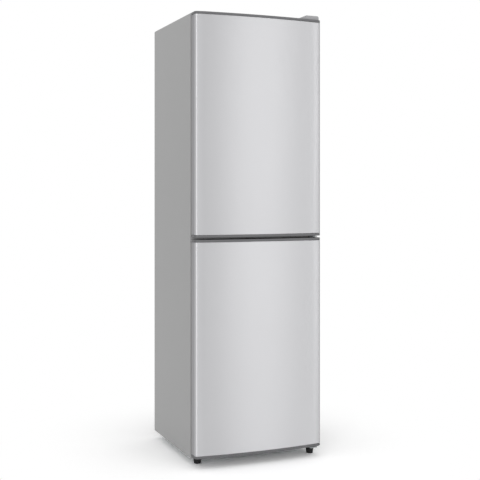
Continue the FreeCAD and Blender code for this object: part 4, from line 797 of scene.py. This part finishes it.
def makeFoot(node):
    low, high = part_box(node)
    bm = bmesh.new()
    lathe(bm, ((low[0] + high[0]) / 2, (low[1] + high[1]) / 2, low[2]), footShape)
    finishPiece(node + "Moulded", bm, slotOf[node], bodyOf[node], [node], sharpAngle=40)


# Wire-on-tube condenser at the rear: one bent tube with wires welded on both of its sides
coil = {
    "tube": 2.4, "wire": 0.8, "gap": 0.05, "runs": 11, "rearWires": 21, "wireHalf": 150, "margin": 30,
    "bendSteps": 14, "tubeSteps": 3, "wireSteps": 1, "postRuns": (2, 8), "postSteps": 24,
    "postFoot": ((0, 0), (7, 0), (7, 1.5), (4, 3)),    # radius and depth from the case
    "postHead": ((4, -4), (3.2, 0), (0, 0)),           # radius and depth from the tube
}


def tubes(name, paths, radius, steps, slot, body):
    data = bpy.data.curves.new(name, "CURVE")
    data.dimensions = "3D"
    data.bevel_depth = radius * mm
    data.bevel_resolution = steps
    data.use_fill_caps = True
    for path in paths:
        line = data.splines.new("POLY")
        line.points.add(len(path) - 1)
        for spot, point in zip(line.points, path):
            spot.co = (*point, 1)
    piece = bpy.data.objects.new(name, data)
    scene.collection.objects.link(piece)
    data.materials.append(materials[slot])
    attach(piece, body)
    return piece


def tubePath(half, y, low, high, pitch):
    points = [(-half, y, low)]
    for run in range(coil["runs"] - 1):
        way, up = (1 if run % 2 == 0 else -1), low + pitch * run
        for step in range(coil["bendSteps"] + 1):
            turn = math.pi * step / coil["bendSteps"]
            points.append((way * (half + pitch / 2 * math.sin(turn)), y,
                           up + pitch / 2 * (1 - math.cos(turn))))
    return points + [(half, y, high)]


def makeCondenser():
    node = "condenser"
    body, slot = bodyOf[node], slotOf[node]
    x, y, z = spans(node)
    tube, wire, gap, wireHalf, margin = sizes(coil, "tube", "wire", "gap", "wireHalf", "margin")
    low, high = grown(z, -margin)
    pitch = (high - low) / (coil["runs"] - 1)
    reach = tube + gap + wire
    tubeY = y[1] - wire - reach
    path = tubePath(x[1] - tube - pitch / 2, tubeY, low, high, pitch)
    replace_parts(tubes("condenserTube", [path], coil["tube"], coil["tubeSteps"], slot, body), node)
    wires = []
    for count in range(coil["rearWires"] * 2 - 1):
        at = wireHalf * (count / (coil["rearWires"] - 1) - 1)
        side = tubeY + (reach if count % 2 == 0 else -reach)
        wires.append([(at, side, z[0]), (at, side, z[1])])
    tubes("condenserWires", wires, coil["wire"], coil["wireSteps"], slot, body)
    bm = bmesh.new()
    profile = [(radius, y[0] / mm + at) for radius, at in coil["postFoot"]]
    profile += [(radius, tubeY / mm + at) for radius, at in coil["postHead"]]
    for side in (-1, 1):
        for run in coil["postRuns"]:
            lathe(bm, (side * wireHalf, 0, low + pitch * (run - 1)), profile, coil["postSteps"], "Y")
    finishPiece("condenserPosts", bm, slot, body)


# Small inside parts
insideParts = {    # how wide the edges are softened
    "control_housing": 0.9, "lamp_lens": 0.8, "light_switch": 1.2, "relay_box": 0.8, "compressor": 0.6,
    "compressor_grommets": 0.8, "thermostat_knob": 0.8, "drain_hose": 0.3, "evaporator": 0.3,
    "shelf_glass_lower": 0.7, "shelf_glass_middle": 0.7, "shelf_glass_upper": 0.7, "crisper_lid": 0.7,
    "freezer_shelf_lower": 0.7, "freezer_shelf_upper": 0.7, "shelf_trim_lower": 0.4,
    "shelf_trim_middle": 0.4, "shelf_trim_upper": 0.4, "hinge_screws": 0.4, "refrigerant_pipes": 0,
}
capSoft = {"width": 0.7, "segments": 3}

makeCase()
makeCaseParts()
for node in foamShrink:
    makeFoam(node)
print("case made")
for door in ("upper_door", "lower_door"):
    makeDoorSheet(door)
    makeSeal(door)
    makeDoorLining(door)
    for end in ("top_cap", "bottom_cap"):
        softCopy("%s_%s" % (door, end), **capSoft)
print("doors made")
for node in doorBins:
    makeBin(node)
makeCrisper()
for name in ("lower", "middle", "upper"):
    makeFreezerDrawer(name)
makeFridgeLining()
makeFreezerLining()
for node, width in insideParts.items():
    softCopy(node, width)
makeDripTray()
makeCondenser()
print("inside and rear made")
for node in ("left_foot", "right_foot"):
    makeFoot(node)
print("feet made")


# Stage, in metres: a pale floor that fades to white round the object, and tall soft boxes behind the camera
studio = {
    "floorColour": "#E8E8E8", "floorHalf": 30, "floorDrop": 0.0005, "floorSeen": 1.22, "fadeFrom": 0.36,
    "fadeTo": 1.0, "worldLevel": 0.78, "aimHeight": 0.9,
    # azimuth from the doors' normal, distance, middle height, width, height, power
    "boxes": {
        "keyBox": (22.5, 9, 2.25, 3.0, 4.5, 92),
        "middleBox": (-4, 9, 2.25, 0.6, 4.5, 20),
        "leftBox": (-34, 9, 2.25, 4.6, 4.5, 250),
        "rightBox": (44.5, 9, 2.25, 0.7, 4.5, 44),
    },
}


def seenRays(tree):
    # 1 for what the camera sees, also in metal and through glass
    rays = addNode(tree, "ShaderNodeLightPath", {})
    total = addNode(tree, "ShaderNodeMath", {"operation": "ADD"})
    tree.links.new(rays.outputs["Is Camera Ray"], total.inputs[0])
    tree.links.new(rays.outputs["Is Glossy Ray"], total.inputs[1])
    seen = addNode(tree, "ShaderNodeMath", {"operation": "ADD", "use_clamp": True})
    tree.links.new(total.outputs[0], seen.inputs[0])
    tree.links.new(rays.outputs["Is Transmission Ray"], seen.inputs[1])
    return seen


def mixShaders(tree, factor, first, second):
    mixed = addNode(tree, "ShaderNodeMixShader", {}, {"Fac": factor})
    tree.links.new(first.outputs[0], mixed.inputs[1])
    tree.links.new(second.outputs[0], mixed.inputs[2])
    return mixed


def makeFloorPaper():
    material = bpy.data.materials.new("matPaper")
    material.use_nodes = True
    tree = material.node_tree
    tree.nodes.clear()
    seen = studio["floorSeen"]    # as seen, the paper is white outside the object's shadow
    near = addNode(tree, "ShaderNodeBsdfDiffuse", {"Color": (seen, seen, seen, 1)})
    white = addNode(tree, "ShaderNodeEmission", {"Strength": 1.0})
    place = addNode(tree, "ShaderNodeTexCoord", {})
    away = addNode(tree, "ShaderNodeVectorMath", {"operation": "LENGTH"})
    tree.links.new(place.outputs["Object"], away.inputs[0])
    fade = addNode(tree, "ShaderNodeMapRange", {
        "interpolation_type": "SMOOTHSTEP", "From Min": studio["fadeFrom"], "From Max": studio["fadeTo"],
    }, {"Value": (away, "Value")})
    faded = mixShaders(tree, (fade, "Result"), near, white)
    plain = addNode(tree, "ShaderNodeBsdfDiffuse", {"Color": linear(studio["floorColour"])})
    mixed = mixShaders(tree, (seenRays(tree), "Value"), plain, faded)
    addNode(tree, "ShaderNodeOutputMaterial", {}, {"Surface": (mixed, "Shader")})
    return material


def makeFloor():
    bm = bmesh.new()
    bmesh.ops.create_grid(bm, x_segments=2, y_segments=2, size=studio["floorHalf"])
    mesh = bpy.data.meshes.new("floor")
    bm.to_mesh(mesh)
    bm.free()
    floor = bpy.data.objects.new("floor", mesh)
    scene.collection.objects.link(floor)
    floor.location.z = -studio["floorDrop"]
    mesh.materials.append(makeFloorPaper())


def makeWorld():
    world = bpy.data.worlds.new("studio")
    scene.world = world
    world.use_nodes = True
    tree = world.node_tree
    background = tree.nodes["Background"]
    background.inputs["Color"].default_value = (1, 1, 1, 1)
    level = addNode(tree, "ShaderNodeMapRange", {"To Min": studio["worldLevel"], "To Max": 1.0},
                    {"Value": (seenRays(tree), "Value")})
    tree.links.new(level.outputs["Result"], background.inputs["Strength"])


def makeLights():
    for name, (azimuth, far, height, wide, tall, power) in studio["boxes"].items():
        data = bpy.data.lights.new(name, "AREA")
        data.shape = "RECTANGLE"
        data.size, data.size_y = wide, tall
        data.energy = power
        lamp = bpy.data.objects.new(name, data)
        turn = math.radians(azimuth)
        lamp.location = (far * math.sin(turn), -far * math.cos(turn), height)
        aim = Vector((0, 0, studio["aimHeight"])) - lamp.location
        lamp.rotation_euler = aim.to_track_quat("-Z", "Y").to_euler()
        scene.collection.objects.link(lamp)


makeFloor()
makeWorld()
makeLights()
scene.view_settings.view_transform = "Standard"
print("stage set")
